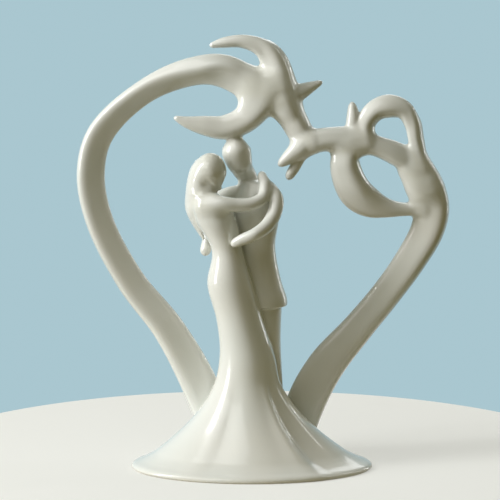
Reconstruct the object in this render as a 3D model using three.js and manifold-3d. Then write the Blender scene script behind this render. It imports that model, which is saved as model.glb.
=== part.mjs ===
// Porcelain wedding cake topper: a bride and groom embrace inside a heart whose two arms rise behind
// the gown and turn into a pair of doves. Every casting is its own mesh. The castings are stuck
// together with slip before firing, so each one ends in a seat cut to the castings that carry it.
// Millimetres, +Z up, the viewer looks along +Y. The origin is on the cake, under the gown.
import * as THREE from "three";
import { mergeVertices } from "three/addons/utils/BufferGeometryUtils.js";
import Module from "manifold-3d";

// Slip joints and glaze
const LUTE_GAP = 0.3; // slip layer left in every stuck joint
const PORCELAIN = { color: 0xf1ede1, roughness: 0.16, metalness: 0 };

// Gown: the hem oval, then the heights and half sizes of the figure above it
const HEM_HALF_WIDTH = 45.4;
const HEM_FRONT = 34;
const HEM_BACK = 24;
const HEM_EDGE = [
  [0, 0.98],
  [0.9, 1],
  [2.1, 0.966],
  [3.2, 0.889],
]; // its rounded edge: height, and the share of the flare's spread there
const EDGE_ROUNDING = 0.8; // of the jacket's hem
const FLARE_POWER = 2;
const KNEE_HEIGHT = 42;
const KNEE_HALF_WIDTH = 10.4;
const KNEE_HALF_DEPTH = 10;
const THIGH_HALF_WIDTH = 8.8;
const THIGH_HALF_DEPTH = 8.8;
const HIP_HEIGHT = 70;
const HIP_HALF_WIDTH = 8.5;
const HIP_HALF_DEPTH = 8;
const WAIST_HEIGHT = 82.5;
const WAIST_HALF_WIDTH = 5.8;
const WAIST_HALF_DEPTH = 6;
const BUST_RISE = 12; // above the waist
const BUST_HALF_WIDTH = 7.5;
const BUST_HALF_DEPTH = 7;
const SHOULDER_RISE = 17; // above the waist
const SHOULDER_HALF_WIDTH = 6.7;
const SHOULDER_HALF_DEPTH = 6.6;
const KNEE_X = -1.8; // the figure leans to the left as it rises
const THIGH_X = -4.6;
const HIP_X = -8.3;
const WAIST_X = -9.3;
const BUST_X = -13.6;
const BRIDE_Y = -2.5;

// Folds pressed into the skirt: bearing round the hem oval in degrees, share of the depth, and how many
// degrees each spreads before and after its bearing
const FOLD_DEPTH = 3.2;
const FOLDS = [
  [-112, 0.5, 7, 13],
  [-58, -0.3, 7, 6],
  [-45, 1, 8, 16],
  [55, 0.6, 13, 13],
  [122, 0.6, 13, 13],
];

// The gown is cast hollow and drained through a vent in its floor
const GOWN_WALL = 3;
const CAVITY_TOP = 62;
const VENT_RADIUS = 5;
const VENT_FORWARD = 13; // the vent's centre, in front of the origin

// Bride's head, hair and arms
const BRIDE_HEAD_RISE = 12.3; // middle of the head above her shoulders
const BRIDE_HEAD_HALF_WIDTH = 5.2;
const BRIDE_HEAD_HALF_DEPTH = 5.4;
const BRIDE_HEAD_HALF_HEIGHT = 7;
const HAIR_HALF_WIDTH = 4.4;
const HAIR_HALF_DEPTH = 5.2;
const HAIR_END_RISE = 3.8; // above the waist
const BRIDE_ARM_RADIUS = 3;

// Groom
const GROOM_Y = 6;
const CHEST_X = 2.5;
const CHEST_RISE = 16; // above the bride's waist
const CHEST_HEIGHT = WAIST_HEIGHT + CHEST_RISE;
const CHEST_HALF_WIDTH = 7.5;
const CHEST_HALF_DEPTH = 7;
const COLLAR_RISE = 9; // above the chest
const JACKET_WAIST_HEIGHT = WAIST_HEIGHT - 0.5;
const JACKET_WAIST_X = 1.7;
const JACKET_WAIST_HALF_WIDTH = 7.1;
const JACKET_WAIST_HALF_DEPTH = 6.8;
const JACKET_HEM_HEIGHT = 60;
const JACKET_HEM_X = 4;
const JACKET_HEM_HALF_WIDTH = 9.4;
const JACKET_HEM_HALF_DEPTH = 9;
const JACKET_HEM_EDGE = 1.5;
const TROUSER_X = 4;
const TROUSER_HALF_WIDTH = 7.2;
const TROUSER_HALF_DEPTH = 7.6;
const GROOM_HEAD_X = -5.8;
const GROOM_HEAD_RISE = 20.2; // middle of the head above the chest
const GROOM_HEAD_HALF_WIDTH = 5.5;
const GROOM_HEAD_HALF_DEPTH = 5.6;
const GROOM_HEAD_HALF_HEIGHT = 6.9;
const GROOM_NECK_RADIUS = 4.1;
const GROOM_ARM_RADIUS = 2.9;

// Heart arms
const ARM_ROOT_HEIGHT = 6.5;
const ARM_ROOT_Y = 12;
const ARM_SWAY = 3; // how far the arms stand back below the doves
const ARM_SQUARENESS = 4; // 2 is an ellipse, higher is squarer
const LEFT_ROOT_X = -12.5;
const LEFT_ARM_HALF_WIDTH = 5.3;
const LEFT_ARM_HALF_DEPTH = 3.6;
const LEFT_LOBE_REACH = 57; // of the arm's centre line, out from its chord
const RIGHT_ROOT_X = 16.5;
const RIGHT_ARM_HALF_WIDTH = 5.9;
const RIGHT_ARM_HALF_DEPTH = 4;
const RIGHT_LOBE_REACH = 30;

// Doves
const DOVE_Y = 5;
const WING_SQUARENESS = 2.7;
const LEFT_DOVE_X = 11;
const LEFT_DOVE_RISE = 22.3; // its middle above the middle of the groom's head
const LEFT_BODY_LENGTH = 15;
const LEFT_BODY_HALF_WIDTH = 6.2;
const LEFT_BODY_HALF_DEPTH = 5.6;
const LEFT_UPPER_WING_SPAN = 26;
const LEFT_UPPER_WING_RISE = 17.5;
const LEFT_UPPER_WING_BOW = 9;
const LEFT_UPPER_WING_HALF_WIDTH = 5;
const LEFT_UPPER_WING_HALF_DEPTH = 4.7;
const LEFT_LOWER_WING_SPAN = 39.5;
const LEFT_LOWER_WING_DROP = 9.5;
const LEFT_LOWER_WING_BOW = 10.6;
const LEFT_LOWER_WING_HALF_WIDTH = 6.2;
const LEFT_LOWER_WING_HALF_DEPTH = 5;
const LEFT_HEAD_REACH = 14.5;
const LEFT_HEAD_RISE = 3.5;
const LEFT_HEAD_RADIUS = 3.7;
const LEFT_TAIL_HALF_WIDTH = 5.1;
const LEFT_TAIL_HALF_DEPTH = 4.3;
const RIGHT_DOVE_X = 37.5;
const RIGHT_DOVE_DROP = 18; // its middle below the left dove's middle
const RIGHT_BODY_LEFT_REACH = 15;
const RIGHT_BODY_RIGHT_REACH = 24;
const RIGHT_BODY_DROP = 12; // of its right end
const RIGHT_BODY_HALF_WIDTH = 4.4;
const RIGHT_BODY_HALF_DEPTH = 4.4;
const RIGHT_UPPER_WING_HEIGHT = 18.9;
const RIGHT_UPPER_WING_HALF_WIDTH = 3.8;
const RIGHT_UPPER_WING_HALF_DEPTH = 4;
const RIGHT_LOWER_WING_DROP = 26.5;
const RIGHT_LOWER_WING_BOW = 14.6;
const RIGHT_LOWER_WING_HALF_WIDTH = 5.6;
const RIGHT_LOWER_WING_HALF_DEPTH = 4.2;
const RIGHT_HEAD_RISE = 13;
const RIGHT_HEAD_RADIUS = 3.4;
const FORK_REACH = 11.5; // of the forked tail, left of the right dove's body
const FORK_DROP = 8;
const FORK_RADIUS = 4.4;
const FEATHER_REACH = 8.5;
const FEATHER_DROP = 13;
const FEATHER_RADIUS = 2.1;

// Facets
const GOWN_SIDES = 60;
const BODY_SIDES = 16;
const HEAD_SIDES = 14;
const LIMB_SIDES = 10;
const CAP_ANGLES = [30, 60];
const CAP_SHARE = 0.9; // of a limb's end, how far its rounded cap stands out

const wasm = await Module();
wasm.setup();
const at = (x, y, z) => new THREE.Vector3(x, y, z);
const beside = (landmark, x, y, z) => landmark.clone().add(at(x, y, z));
const between = (from, to, way) => from + (to - from) * way;

// Evenly spaced values after the first, up to and with the last.
function spaced(from, to, count) {
  return Array.from({ length: count }, (_, i) => between(from, to, (i + 1) / count));
}

// Interpolates rows of numbers smoothly: the first column is the place, the rest are returned.
function smoothRows(rows) {
  const size = rows[0].length - 1;
  const places = rows.map((row) => row[0]);
  const values = rows.flatMap((row) => row.slice(1));
  const curve = new THREE.CubicInterpolant(places, values, size, new Float32Array(size));
  return (place) => Array.from(curve.evaluate(place));
}

// A ring of points round a centre: a superellipse between the across and the deep directions.
function ring(centre, across, deep, halfWidth, halfDepth, squareness, sides) {
  const power = 2 / squareness;
  const points = [];
  for (let i = 0; i < sides; i++) {
    const turn = (2 * Math.PI * i) / sides;
    const u = Math.sign(Math.cos(turn)) * Math.abs(Math.cos(turn)) ** power;
    const v = Math.sign(Math.sin(turn)) * Math.abs(Math.sin(turn)) ** power;
    const point = centre.clone().addScaledVector(across, halfWidth * u);
    points.push(point.addScaledVector(deep, halfDepth * v));
  }
  return points;
}

// A closed skin over rings of equally many points, with a pole at each end.
function skin(rings, firstPole, lastPole) {
  const sides = rings[0].length;
  const points = [firstPole, ...rings.flat(), lastPole];
  const spot = (j, i) => 1 + j * sides + (i % sides);
  const top = rings.length - 1;
  const index = [];
  for (let i = 0; i < sides; i++) {
    index.push(0, spot(0, i + 1), spot(0, i));
    for (let j = 0; j < top; j++) {
      index.push(spot(j, i), spot(j, i + 1), spot(j + 1, i + 1));
      index.push(spot(j, i), spot(j + 1, i + 1), spot(j + 1, i));
    }
    index.push(points.length - 1, spot(top, i), spot(top, i + 1));
  }
  const geometry = new THREE.BufferGeometry().setFromPoints(points);
  geometry.setIndex(index);
  return geometry;
}

// A limb: a section carried along a smooth path, with rounded ends. Each row is a point of the path,
// the shares of the half width and half depth there, and the section's roll in degrees.
function limb(halfWidth, halfDepth, rows, steps, squareness = 2, sides = LIMB_SIDES) {
  const curve = new THREE.CatmullRomCurve3(rows.map((row) => row[0]));
  const last = rows.length - 1;
  const sizes = smoothRows(rows.map(([, w, d, roll = 0], i) => [i / last, w, d, roll]));
  const stations = [];
  for (let k = 0; k <= steps; k++) {
    const [w, d, roll] = sizes(k / steps);
    const along = curve.getTangent(k / steps);
    const across = at(0, 1, 0).cross(along).normalize();
    across.applyAxisAngle(along, THREE.MathUtils.degToRad(roll));
    const deep = along.clone().cross(across);
    const centre = curve.getPoint(k / steps);
    stations.push({ centre, along, across, deep, w: halfWidth * w, d: halfDepth * d });
  }
  const pushed = ({ centre, along, w, d }, share) =>
    centre.clone().addScaledVector(along, share * CAP_SHARE * Math.min(w, d));
  const section = (station, push, shrink) => {
    const { across, deep, w, d } = station;
    return ring(pushed(station, push), across, deep, w * shrink, d * shrink, squareness, sides);
  };
  const cap = (station, angle, way) => {
    const turn = THREE.MathUtils.degToRad(angle);
    return section(station, way * Math.sin(turn), Math.cos(turn));
  };
  const rings = [
    ...CAP_ANGLES.toReversed().map((angle) => cap(stations[0], angle, -1)),
    ...stations.map((station) => section(station, 0, 1)),
    ...CAP_ANGLES.map((angle) => cap(stations[steps], angle, 1)),
  ];
  return skin(rings, pushed(stations[0], -1), pushed(stations[steps], 1));
}

// Rows for an arched limb. Each row given is the share of the way from root to tip, the share of the
// bow, then the shares and roll that the limb wants.
function arch(root, tip, bow, rows) {
  return rows.map(([way, bowShare, ...shares]) => {
    const point = root.clone().lerp(tip, way).addScaledVector(bow, bowShare);
    return [point, ...shares];
  });
}

// A figure built up in level sections: rows give height, x, y, half width and half depth.
function figure(rows, heights, sides, reshape = (point) => point) {
  const levels = smoothRows(rows);
  const rings = heights.map((z) => {
    const [x, y, halfWidth, halfDepth] = levels(z);
    const points = ring(at(x, y, z), at(1, 0, 0), at(0, 1, 0), halfWidth, halfDepth, 2, sides);
    return points.map((point) => reshape(point, at(x, y, z)));
  });
  const middle = (points) =>
    points.reduce((sum, point) => sum.add(point), at(0, 0, 0)).divideScalar(points.length);
  return skin(rings, middle(rings[0]), middle(rings.at(-1)));
}

// A closed geometry as a solid for joining and cutting.
function solid(geometry) {
  const bare = geometry.clone();
  bare.deleteAttribute("normal");
  bare.deleteAttribute("uv");
  const merged = mergeVertices(bare);
  const vertProperties = merged.getAttribute("position").array;
  const triVerts = new Uint32Array(merged.index.array);
  return new wasm.Manifold(new wasm.Mesh({ numProp: 3, vertProperties, triVerts }));
}

// The same skin moved out along its normals, so that what it cuts keeps a slip joint's gap.
function grown(geometry, gap) {
  const swollen = geometry.clone();
  swollen.computeVertexNormals();
  const place = swollen.getAttribute("position");
  const normal = swollen.getAttribute("normal");
  for (let i = 0; i < place.count; i++) {
    const moved = at(0, 0, 0).fromBufferAttribute(normal, i).multiplyScalar(gap);
    moved.add(at(0, 0, 0).fromBufferAttribute(place, i));
    place.setXYZ(i, moved.x, moved.y, moved.z);
  }
  return swollen;
}

// Landmarks that more than one casting shares
const waist = at(WAIST_X, BRIDE_Y, WAIST_HEIGHT);
const bust = at(BUST_X, BRIDE_Y, WAIST_HEIGHT + BUST_RISE);
const brideShoulder = at(BUST_X - 1.4, BRIDE_Y, WAIST_HEIGHT + SHOULDER_RISE);
const brideHead = beside(brideShoulder, -0.4, 0.5, BRIDE_HEAD_RISE);
const chest = at(CHEST_X, GROOM_Y, CHEST_HEIGHT);
const groomHead = at(GROOM_HEAD_X, GROOM_Y - 1.5, CHEST_HEIGHT + GROOM_HEAD_RISE);
const leftDove = at(LEFT_DOVE_X, DOVE_Y, groomHead.z + LEFT_DOVE_RISE);
const rightDove = at(RIGHT_DOVE_X, DOVE_Y, leftDove.z - RIGHT_DOVE_DROP);
const rightEnd = beside(rightDove, RIGHT_BODY_RIGHT_REACH, 1, -RIGHT_BODY_DROP);
const leftEnd = beside(rightDove, -RIGHT_BODY_LEFT_REACH, -1, -0.5);

// The gown's levels: the hem's rounded edge, the flare that narrows to the knee as a power curve, the
// figure.
function gownRows() {
  const hemY = (HEM_BACK - HEM_FRONT) / 2;
  const hemHalfDepth = (HEM_BACK + HEM_FRONT) / 2;
  const flare = [0.87, 0.82, 0.76, 0.69, 0.61, 0.52, 0.4, 0.24];
  const spreads = flare.map((way) => [KNEE_HEIGHT * (1 - way), way ** FLARE_POWER]);
  const skirt = [...HEM_EDGE, ...spreads].map(([height, spread]) => [
    height,
    between(KNEE_X, 0, spread),
    between(BRIDE_Y, hemY, spread),
    between(KNEE_HALF_WIDTH, HEM_HALF_WIDTH, spread),
    between(KNEE_HALF_DEPTH, hemHalfDepth, spread),
  ]);
  const thighHeight = (KNEE_HEIGHT + HIP_HEIGHT) / 2;
  const top = beside(brideShoulder, -0.6, 0, 4);
  return [
    ...skirt,
    [KNEE_HEIGHT, KNEE_X, BRIDE_Y, KNEE_HALF_WIDTH, KNEE_HALF_DEPTH],
    [thighHeight, THIGH_X, BRIDE_Y, THIGH_HALF_WIDTH, THIGH_HALF_DEPTH],
    [HIP_HEIGHT, HIP_X, BRIDE_Y, HIP_HALF_WIDTH, HIP_HALF_DEPTH],
    [WAIST_HEIGHT, WAIST_X, BRIDE_Y, WAIST_HALF_WIDTH, WAIST_HALF_DEPTH],
    [bust.z, BUST_X, BRIDE_Y, BUST_HALF_WIDTH, BUST_HALF_DEPTH],
    [brideShoulder.z, brideShoulder.x, BRIDE_Y, SHOULDER_HALF_WIDTH, SHOULDER_HALF_DEPTH],
    [top.z, top.x, BRIDE_Y, SHOULDER_HALF_WIDTH / 2, SHOULDER_HALF_DEPTH / 2],
  ];
}

// Pulls a skirt point towards its level's middle near each fold, most at a quarter of the knee's height.
function pressFolds(point, middle) {
  const rise = point.z / KNEE_HEIGHT;
  if (rise <= 0 || rise >= 1) return point;
  const strength = FOLD_DEPTH * Math.sin(Math.PI * Math.sqrt(rise)) ** 2;
  const spot = point.clone().sub(middle);
  const turn = Math.atan2(spot.y / (HEM_FRONT + HEM_BACK), spot.x / (2 * HEM_HALF_WIDTH));
  const bearing = THREE.MathUtils.radToDeg(turn);
  const press = FOLDS.map(([fold, share, before, after]) => {
    const away = bearing - fold;
    return share * Math.exp(-((away / (away < 0 ? before : after)) ** 2));
  });
  const pull = strength * press.reduce((sum, value) => sum + value, 0);
  return point.addScaledVector(spot.normalize(), -pull);
}

function gownShell() {
  const rows = gownRows();
  const skirt = rows.map((row) => row[0]).filter((z) => z <= KNEE_HEIGHT);
  const heights = [
    ...skirt,
    ...spaced(KNEE_HEIGHT, HIP_HEIGHT, 3),
    ...spaced(HIP_HEIGHT, WAIST_HEIGHT, 2),
    ...spaced(WAIST_HEIGHT, bust.z, 3),
    ...spaced(bust.z, rows.at(-1)[0], 4),
  ];
  return figure(rows, heights, GOWN_SIDES, pressFolds);
}

// The cavity follows the gown one wall higher and one wall further in.
function gownCavity() {
  const levels = smoothRows(gownRows());
  const inset = GOWN_WALL + FOLD_DEPTH / 2;
  const heights = [GOWN_WALL, ...spaced(GOWN_WALL, CAVITY_TOP, 7)];
  const rows = heights.map((z) => {
    const [x, y, halfWidth, halfDepth] = levels(z + GOWN_WALL);
    return [z, x, y, halfWidth - inset, halfDepth - inset];
  });
  return figure(rows, heights, BODY_SIDES);
}

function ventPlug() {
  const plug = new THREE.CylinderGeometry(VENT_RADIUS, VENT_RADIUS, 4 * GOWN_WALL, BODY_SIDES);
  return plug.rotateX(Math.PI / 2).translate(0, -VENT_FORWARD, 0);
}

// Bride's head: an egg whose chin overhangs a slender neck that enters the bodice.
function brideHeadEgg() {
  const rise = BRIDE_HEAD_HALF_HEIGHT;
  const rows = [
    [beside(brideShoulder, -2.2, 0.7, 0), 0.6, 0.66],
    [beside(brideHead, -1.8, 0.3, -1.14 * rise), 0.52, 0.66],
    [beside(brideHead, 0.2, 0, -0.63 * rise), 0.72, 0.8],
    [beside(brideHead, 0.45, 0, -0.17 * rise), 0.93, 0.97],
    [beside(brideHead, 0.3, 0, 0.2 * rise), 0.88, 0.92],
  ];
  return limb(BRIDE_HEAD_HALF_WIDTH, BRIDE_HEAD_HALF_DEPTH, rows, 8, 2, HEAD_SIDES);
}

// Bride's hair: a broad lock from the crown, down behind the shoulder to the waist.
function brideHairLock() {
  const behind = at(bust.x - BUST_HALF_WIDTH, BRIDE_Y + 2.5, bust.z);
  const rows = [
    [beside(brideHead, 0, 0, 2), 0.97, 1],
    [beside(brideHead, -3.1, 0, -0.3), 0.92, 1.02],
    [beside(brideHead, -6.4, 0.4, -5.9), 0.66, 0.96],
    [beside(behind, -1.9, -0.8, 6.6), 0.46, 0.82],
    [beside(behind, -2, -0.5, 2.9), 0.4, 0.7],
    [beside(behind, -0.8, -0.3, -1.3), 0.29, 0.56],
    [beside(behind, 1.2, 0.2, -5.2), 0.21, 0.42],
    [beside(waist, -3.1 - WAIST_HALF_WIDTH, 2.8, HAIR_END_RISE), 0.14, 0.28],
  ];
  return limb(HAIR_HALF_WIDTH, HAIR_HALF_DEPTH, rows, 16);
}

// Bride's near arm: over the groom's chest and up behind his neck.
function brideNearArm() {
  const front = at(CHEST_X, GROOM_Y - CHEST_HALF_DEPTH, brideShoulder.z);
  const nape = at(CHEST_X, GROOM_Y - CHEST_HALF_DEPTH, CHEST_HEIGHT + COLLAR_RISE);
  const rows = [
    [beside(brideShoulder, -2.3, -2.6, 0.8), 1.08, 1.08],
    [beside(brideShoulder, 3, -5.3, 1), 0.96, 0.97],
    [beside(front, -7.5, -6.5, 0.5), 0.87, 0.87],
    [beside(front, -2, -5.5, 1), 0.83, 0.83],
    [beside(front, 1.5, -3.5, 3), 0.79, 0.8],
    [beside(nape, 2.3, -0.5, -1), 0.74, 0.76],
    [beside(nape, 1.2, 3.5, 2.5), 0.58, 0.62],
  ];
  return limb(BRIDE_ARM_RADIUS, BRIDE_ARM_RADIUS, rows, 14);
}

// Bride's far arm: round the groom's back, out of the viewer's sight.
function brideFarArm() {
  const back = at(CHEST_X, GROOM_Y + CHEST_HALF_DEPTH, bust.z);
  const rows = [
    [beside(bust, 1, 3, 1), 1.05, 1.05],
    [beside(back, -2.5 - CHEST_HALF_WIDTH, -3.5, -1), 0.92, 0.92],
    [beside(back, -4, 0.6, -2.5), 0.82, 0.82],
    [beside(back, 2.5, 0.8, -3), 0.62, 0.62],
  ];
  return limb(BRIDE_ARM_RADIUS, BRIDE_ARM_RADIUS, rows, 9);
}

// Groom's jacket, with a flared hem and sloping shoulders.
function groomJacket() {
  const hemWidth = JACKET_HEM_HALF_WIDTH;
  const hemDepth = JACKET_HEM_HALF_DEPTH;
  const hemTop = JACKET_HEM_HEIGHT + JACKET_HEM_EDGE;
  const collar = CHEST_HEIGHT + COLLAR_RISE;
  const slope = between(CHEST_HEIGHT, collar, 0.6);
  const rows = [
    [JACKET_HEM_HEIGHT, JACKET_HEM_X, GROOM_Y, hemWidth - EDGE_ROUNDING, hemDepth - EDGE_ROUNDING],
    [hemTop, JACKET_HEM_X, GROOM_Y, hemWidth, hemDepth],
    [hemTop + 7.5, JACKET_HEM_X - 1, GROOM_Y, 0.87 * hemWidth, 0.87 * hemDepth],
    [JACKET_WAIST_HEIGHT, JACKET_WAIST_X, GROOM_Y, JACKET_WAIST_HALF_WIDTH, JACKET_WAIST_HALF_DEPTH],
    [CHEST_HEIGHT, CHEST_X - 0.7, GROOM_Y, 1.1 * CHEST_HALF_WIDTH, CHEST_HALF_DEPTH],
    [slope, CHEST_X - 0.6, GROOM_Y, 0.84 * CHEST_HALF_WIDTH, 0.82 * CHEST_HALF_DEPTH],
    [collar, CHEST_X - 1.2, GROOM_Y, 0.5 * CHEST_HALF_WIDTH, 0.52 * CHEST_HALF_DEPTH],
  ];
  return figure(rows, [JACKET_HEM_HEIGHT, hemTop, ...spaced(hemTop, collar, 9)], BODY_SIDES);
}

// Groom's trousers: from inside the jacket down into the back of the skirt.
function groomTrousers() {
  const width = TROUSER_HALF_WIDTH;
  const depth = TROUSER_HALF_DEPTH;
  const top = JACKET_HEM_HEIGHT + 4;
  const rows = [
    [ARM_ROOT_HEIGHT, TROUSER_X + 1.5, GROOM_Y + 2, 1.1 * width, 1.1 * depth],
    [0.5 * JACKET_HEM_HEIGHT, TROUSER_X + 0.5, GROOM_Y + 1.5, width, depth],
    [0.78 * JACKET_HEM_HEIGHT, TROUSER_X, GROOM_Y + 1, 0.96 * width, depth],
    [top, TROUSER_X, GROOM_Y, 1.04 * width, depth],
  ];
  return figure(rows, [ARM_ROOT_HEIGHT, ...spaced(ARM_ROOT_HEIGHT, top, 6)], BODY_SIDES);
}

// Groom's head and neck: an egg whose nape runs straight down into the collar.
function groomHeadEgg() {
  const neckWidth = GROOM_NECK_RADIUS / GROOM_HEAD_HALF_WIDTH;
  const neckDepth = GROOM_NECK_RADIUS / GROOM_HEAD_HALF_DEPTH;
  const rise = GROOM_HEAD_HALF_HEIGHT;
  const rows = [
    [beside(chest, -2.6, 0.8, 4), 1.08 * neckWidth, 1.06 * neckDepth],
    [beside(chest, -4.4, 1.4, 10.4), 0.92 * neckWidth, 0.9 * neckDepth],
    [beside(groomHead, 1.9, 1, -0.84 * rise), 0.79, 0.76],
    [beside(groomHead, 0.6, 0.2, -0.36 * rise), 0.95, 0.96],
    [beside(groomHead, -0.15, 0, 0.09 * rise), 0.98, 1],
    [beside(groomHead, -0.4, 0, 0.43 * rise), 0.8, 0.84],
  ];
  return limb(GROOM_HEAD_HALF_WIDTH, GROOM_HEAD_HALF_DEPTH, rows, 10, 2, HEAD_SIDES);
}

// Groom's near arm: down from the shoulder, and forward to a hand on the bride's waist.
function groomNearArm() {
  const side = at(WAIST_X + WAIST_HALF_WIDTH, BRIDE_Y - WAIST_HALF_DEPTH, WAIST_HEIGHT);
  const rows = [
    [beside(chest, 3.5, -4.5, 6.5), 1.12, 1.12],
    [beside(chest, 6.4, -8.5, 3), 1, 1],
    [beside(chest, 5.7, -11.5, -2), 0.95, 0.95],
    [beside(chest, 3, -14.5, -6), 0.88, 0.9],
    [beside(side, 4.5, -2.5, 7), 0.82, 0.83],
    [beside(side, 0, -2, 5), 0.74, 0.74],
    [beside(side, -3, -1.2, 3.5), 0.6, 0.6],
  ];
  return limb(GROOM_ARM_RADIUS, GROOM_ARM_RADIUS, rows, 14);
}

// Groom's far arm: behind the bride's shoulders, to a hand that shows at the back of her waist.
function groomFarArm() {
  const back = at(BUST_X, BRIDE_Y + BUST_HALF_DEPTH, bust.z);
  const side = at(WAIST_X - WAIST_HALF_WIDTH, BRIDE_Y + WAIST_HALF_DEPTH, WAIST_HEIGHT);
  const rows = [
    [beside(chest, -2.5, 2, 4), 1.2, 1.25],
    [beside(back, 5.5, 4.5, 7), 1.17, 1.22],
    [beside(back, -1, 4.5, 4), 1.08, 1.08],
    [beside(back, -4.5, 3, -2.5), 0.92, 0.92],
    [beside(side, -3.4, 2, 4), 0.82, 0.82],
    [beside(side, -2.4, -0.5, 0), 0.76, 0.76],
  ];
  return limb(GROOM_ARM_RADIUS, GROOM_ARM_RADIUS, rows, 12);
}

// Moves an arm's middle back, so that the heart leans away below the doves.
function swayed(rows) {
  const last = rows.length - 1;
  rows.forEach(([point], i) => (point.y += ARM_SWAY * Math.sin((Math.PI * i) / last)));
  return rows;
}

// Left heart arm: from the back of the skirt, round the lobe, into the left dove.
function leftHeartArm() {
  const root = at(LEFT_ROOT_X, ARM_ROOT_Y, ARM_ROOT_HEIGHT);
  const tip = beside(leftDove, -5, 0, -1.5);
  const rows = arch(root, tip, at(-LEFT_LOBE_REACH, 0, 0), [
    [0, 0, 1.15, 1.15, 8],
    [0.15, 0.165, 1.3, 1.1, 12],
    [0.325, 0.44, 1.14, 1, 20],
    [0.47, 0.745, 1.02, 0.97, 22],
    [0.645, 1.005, 0.98, 0.97, 22],
    [0.78, 1.1, 1, 0.97, 20],
    [0.893, 1.065, 0.95, 1, 24],
    [1.015, 0.8, 0.86, 1.05, 30],
    [1.0695, 0.5, 1.1, 1.12, 24],
    [1.0686, 0.304, 1.2, 1.2, 12],
    [1, 0, 1.1, 1.15, 0],
  ]);
  return limb(LEFT_ARM_HALF_WIDTH, LEFT_ARM_HALF_DEPTH, swayed(rows), 28, ARM_SQUARENESS);
}

// Right heart arm: from the back of the skirt, round the lobe, into the right dove's body.
function rightHeartArm() {
  const root = at(RIGHT_ROOT_X, ARM_ROOT_Y, ARM_ROOT_HEIGHT);
  const tip = beside(rightEnd, -2, 0, 2.5);
  const rows = arch(root, tip, at(RIGHT_LOBE_REACH, 0, 0), [
    [0, 0, 1.1, 1.05, -8],
    [0.13, -0.06, 1.26, 1, -12],
    [0.27, 0, 1.2, 0.9, -18],
    [0.41, 0.21, 1, 0.9, -22],
    [0.535, 0.39, 0.95, 0.95, -22],
    [0.655, 0.515, 0.99, 1, -22],
    [0.765, 0.565, 1.06, 1.05, -20],
    [0.85, 0.49, 1.12, 1.1, -16],
    [0.94, 0.26, 1.07, 1.1, -10],
    [1, 0, 0.95, 1.05, 0],
  ]);
  return limb(RIGHT_ARM_HALF_WIDTH, RIGHT_ARM_HALF_DEPTH, swayed(rows), 24, ARM_SQUARENESS);
}

// Left dove
function leftDoveBody() {
  const half = LEFT_BODY_LENGTH / 2;
  const rows = [
    [beside(leftDove, -2, 0, half), 0.84, 0.86],
    [leftDove, 1, 1],
    [beside(leftDove, 2.5, 0, -half), 0.87, 0.9],
  ];
  return limb(LEFT_BODY_HALF_WIDTH, LEFT_BODY_HALF_DEPTH, rows, 6, WING_SQUARENESS);
}

function leftUpperWing() {
  const root = beside(leftDove, -0.5, 0, 1.5);
  const tip = beside(leftDove, -LEFT_UPPER_WING_SPAN, -1, LEFT_UPPER_WING_RISE);
  const bow = at(0.524, 0, 0.852).multiplyScalar(LEFT_UPPER_WING_BOW);
  const rows = arch(root, tip, bow, [
    [0, 0, 1, 1],
    [0.19, 0.72, 0.97, 0.98],
    [0.37, 0.99, 0.83, 0.85],
    [0.53, 0.99, 0.63, 0.72],
    [0.72, 0.78, 0.47, 0.6],
    [0.89, 0.36, 0.37, 0.47],
    [1, 0, 0.2, 0.3],
  ]);
  return limb(LEFT_UPPER_WING_HALF_WIDTH, LEFT_UPPER_WING_HALF_DEPTH, rows, 15, WING_SQUARENESS);
}

function leftLowerWing() {
  const root = beside(leftDove, -6.5, 0, 3);
  const tip = beside(leftDove, -LEFT_LOWER_WING_SPAN, -3, -LEFT_LOWER_WING_DROP);
  const seat = LEFT_ARM_HALF_DEPTH / LEFT_LOWER_WING_HALF_DEPTH;
  const rows = arch(root, tip, at(0, 0, -LEFT_LOWER_WING_BOW), [
    [0, 0, 0.9, 0.85 * seat],
    [0.085, 0.575, 1.07, 1.15 * seat],
    [0.215, 0.98, 0.83, 0.95],
    [0.44, 1, 0.74, 0.86],
    [0.69, 0.63, 0.57, 0.7],
    [0.885, 0.27, 0.34, 0.48],
    [1, 0, 0.15, 0.28],
  ]);
  return limb(LEFT_LOWER_WING_HALF_WIDTH, LEFT_LOWER_WING_HALF_DEPTH, rows, 15, WING_SQUARENESS);
}

function leftDoveHead() {
  const root = beside(leftDove, 1.5, 0, -2.5);
  const tip = beside(leftDove, LEFT_HEAD_REACH, 0, LEFT_HEAD_RISE);
  const rows = arch(root, tip, at(0, 0, 0), [
    [0, 0, 1, 1.05],
    [0.42, 0, 0.86, 0.94],
    [0.73, 0, 0.57, 0.68],
    [1, 0, 0.28, 0.35],
  ]);
  return limb(LEFT_HEAD_RADIUS, LEFT_HEAD_RADIUS, rows, 6);
}

function leftDoveTail() {
  const root = beside(leftDove, 0.5, 0, -3);
  const tip = beside(leftEnd, -2, 1.2, -1);
  const rows = arch(root, tip, at(0, 0, 0), [
    [0, 0, 1, 1.05],
    [0.35, 0, 1, 1.02],
    [0.7, 0, 0.94, 0.94],
    [1, 0, 0.82, 0.82],
  ]);
  return limb(LEFT_TAIL_HALF_WIDTH, LEFT_TAIL_HALF_DEPTH, rows, 6, WING_SQUARENESS);
}

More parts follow.
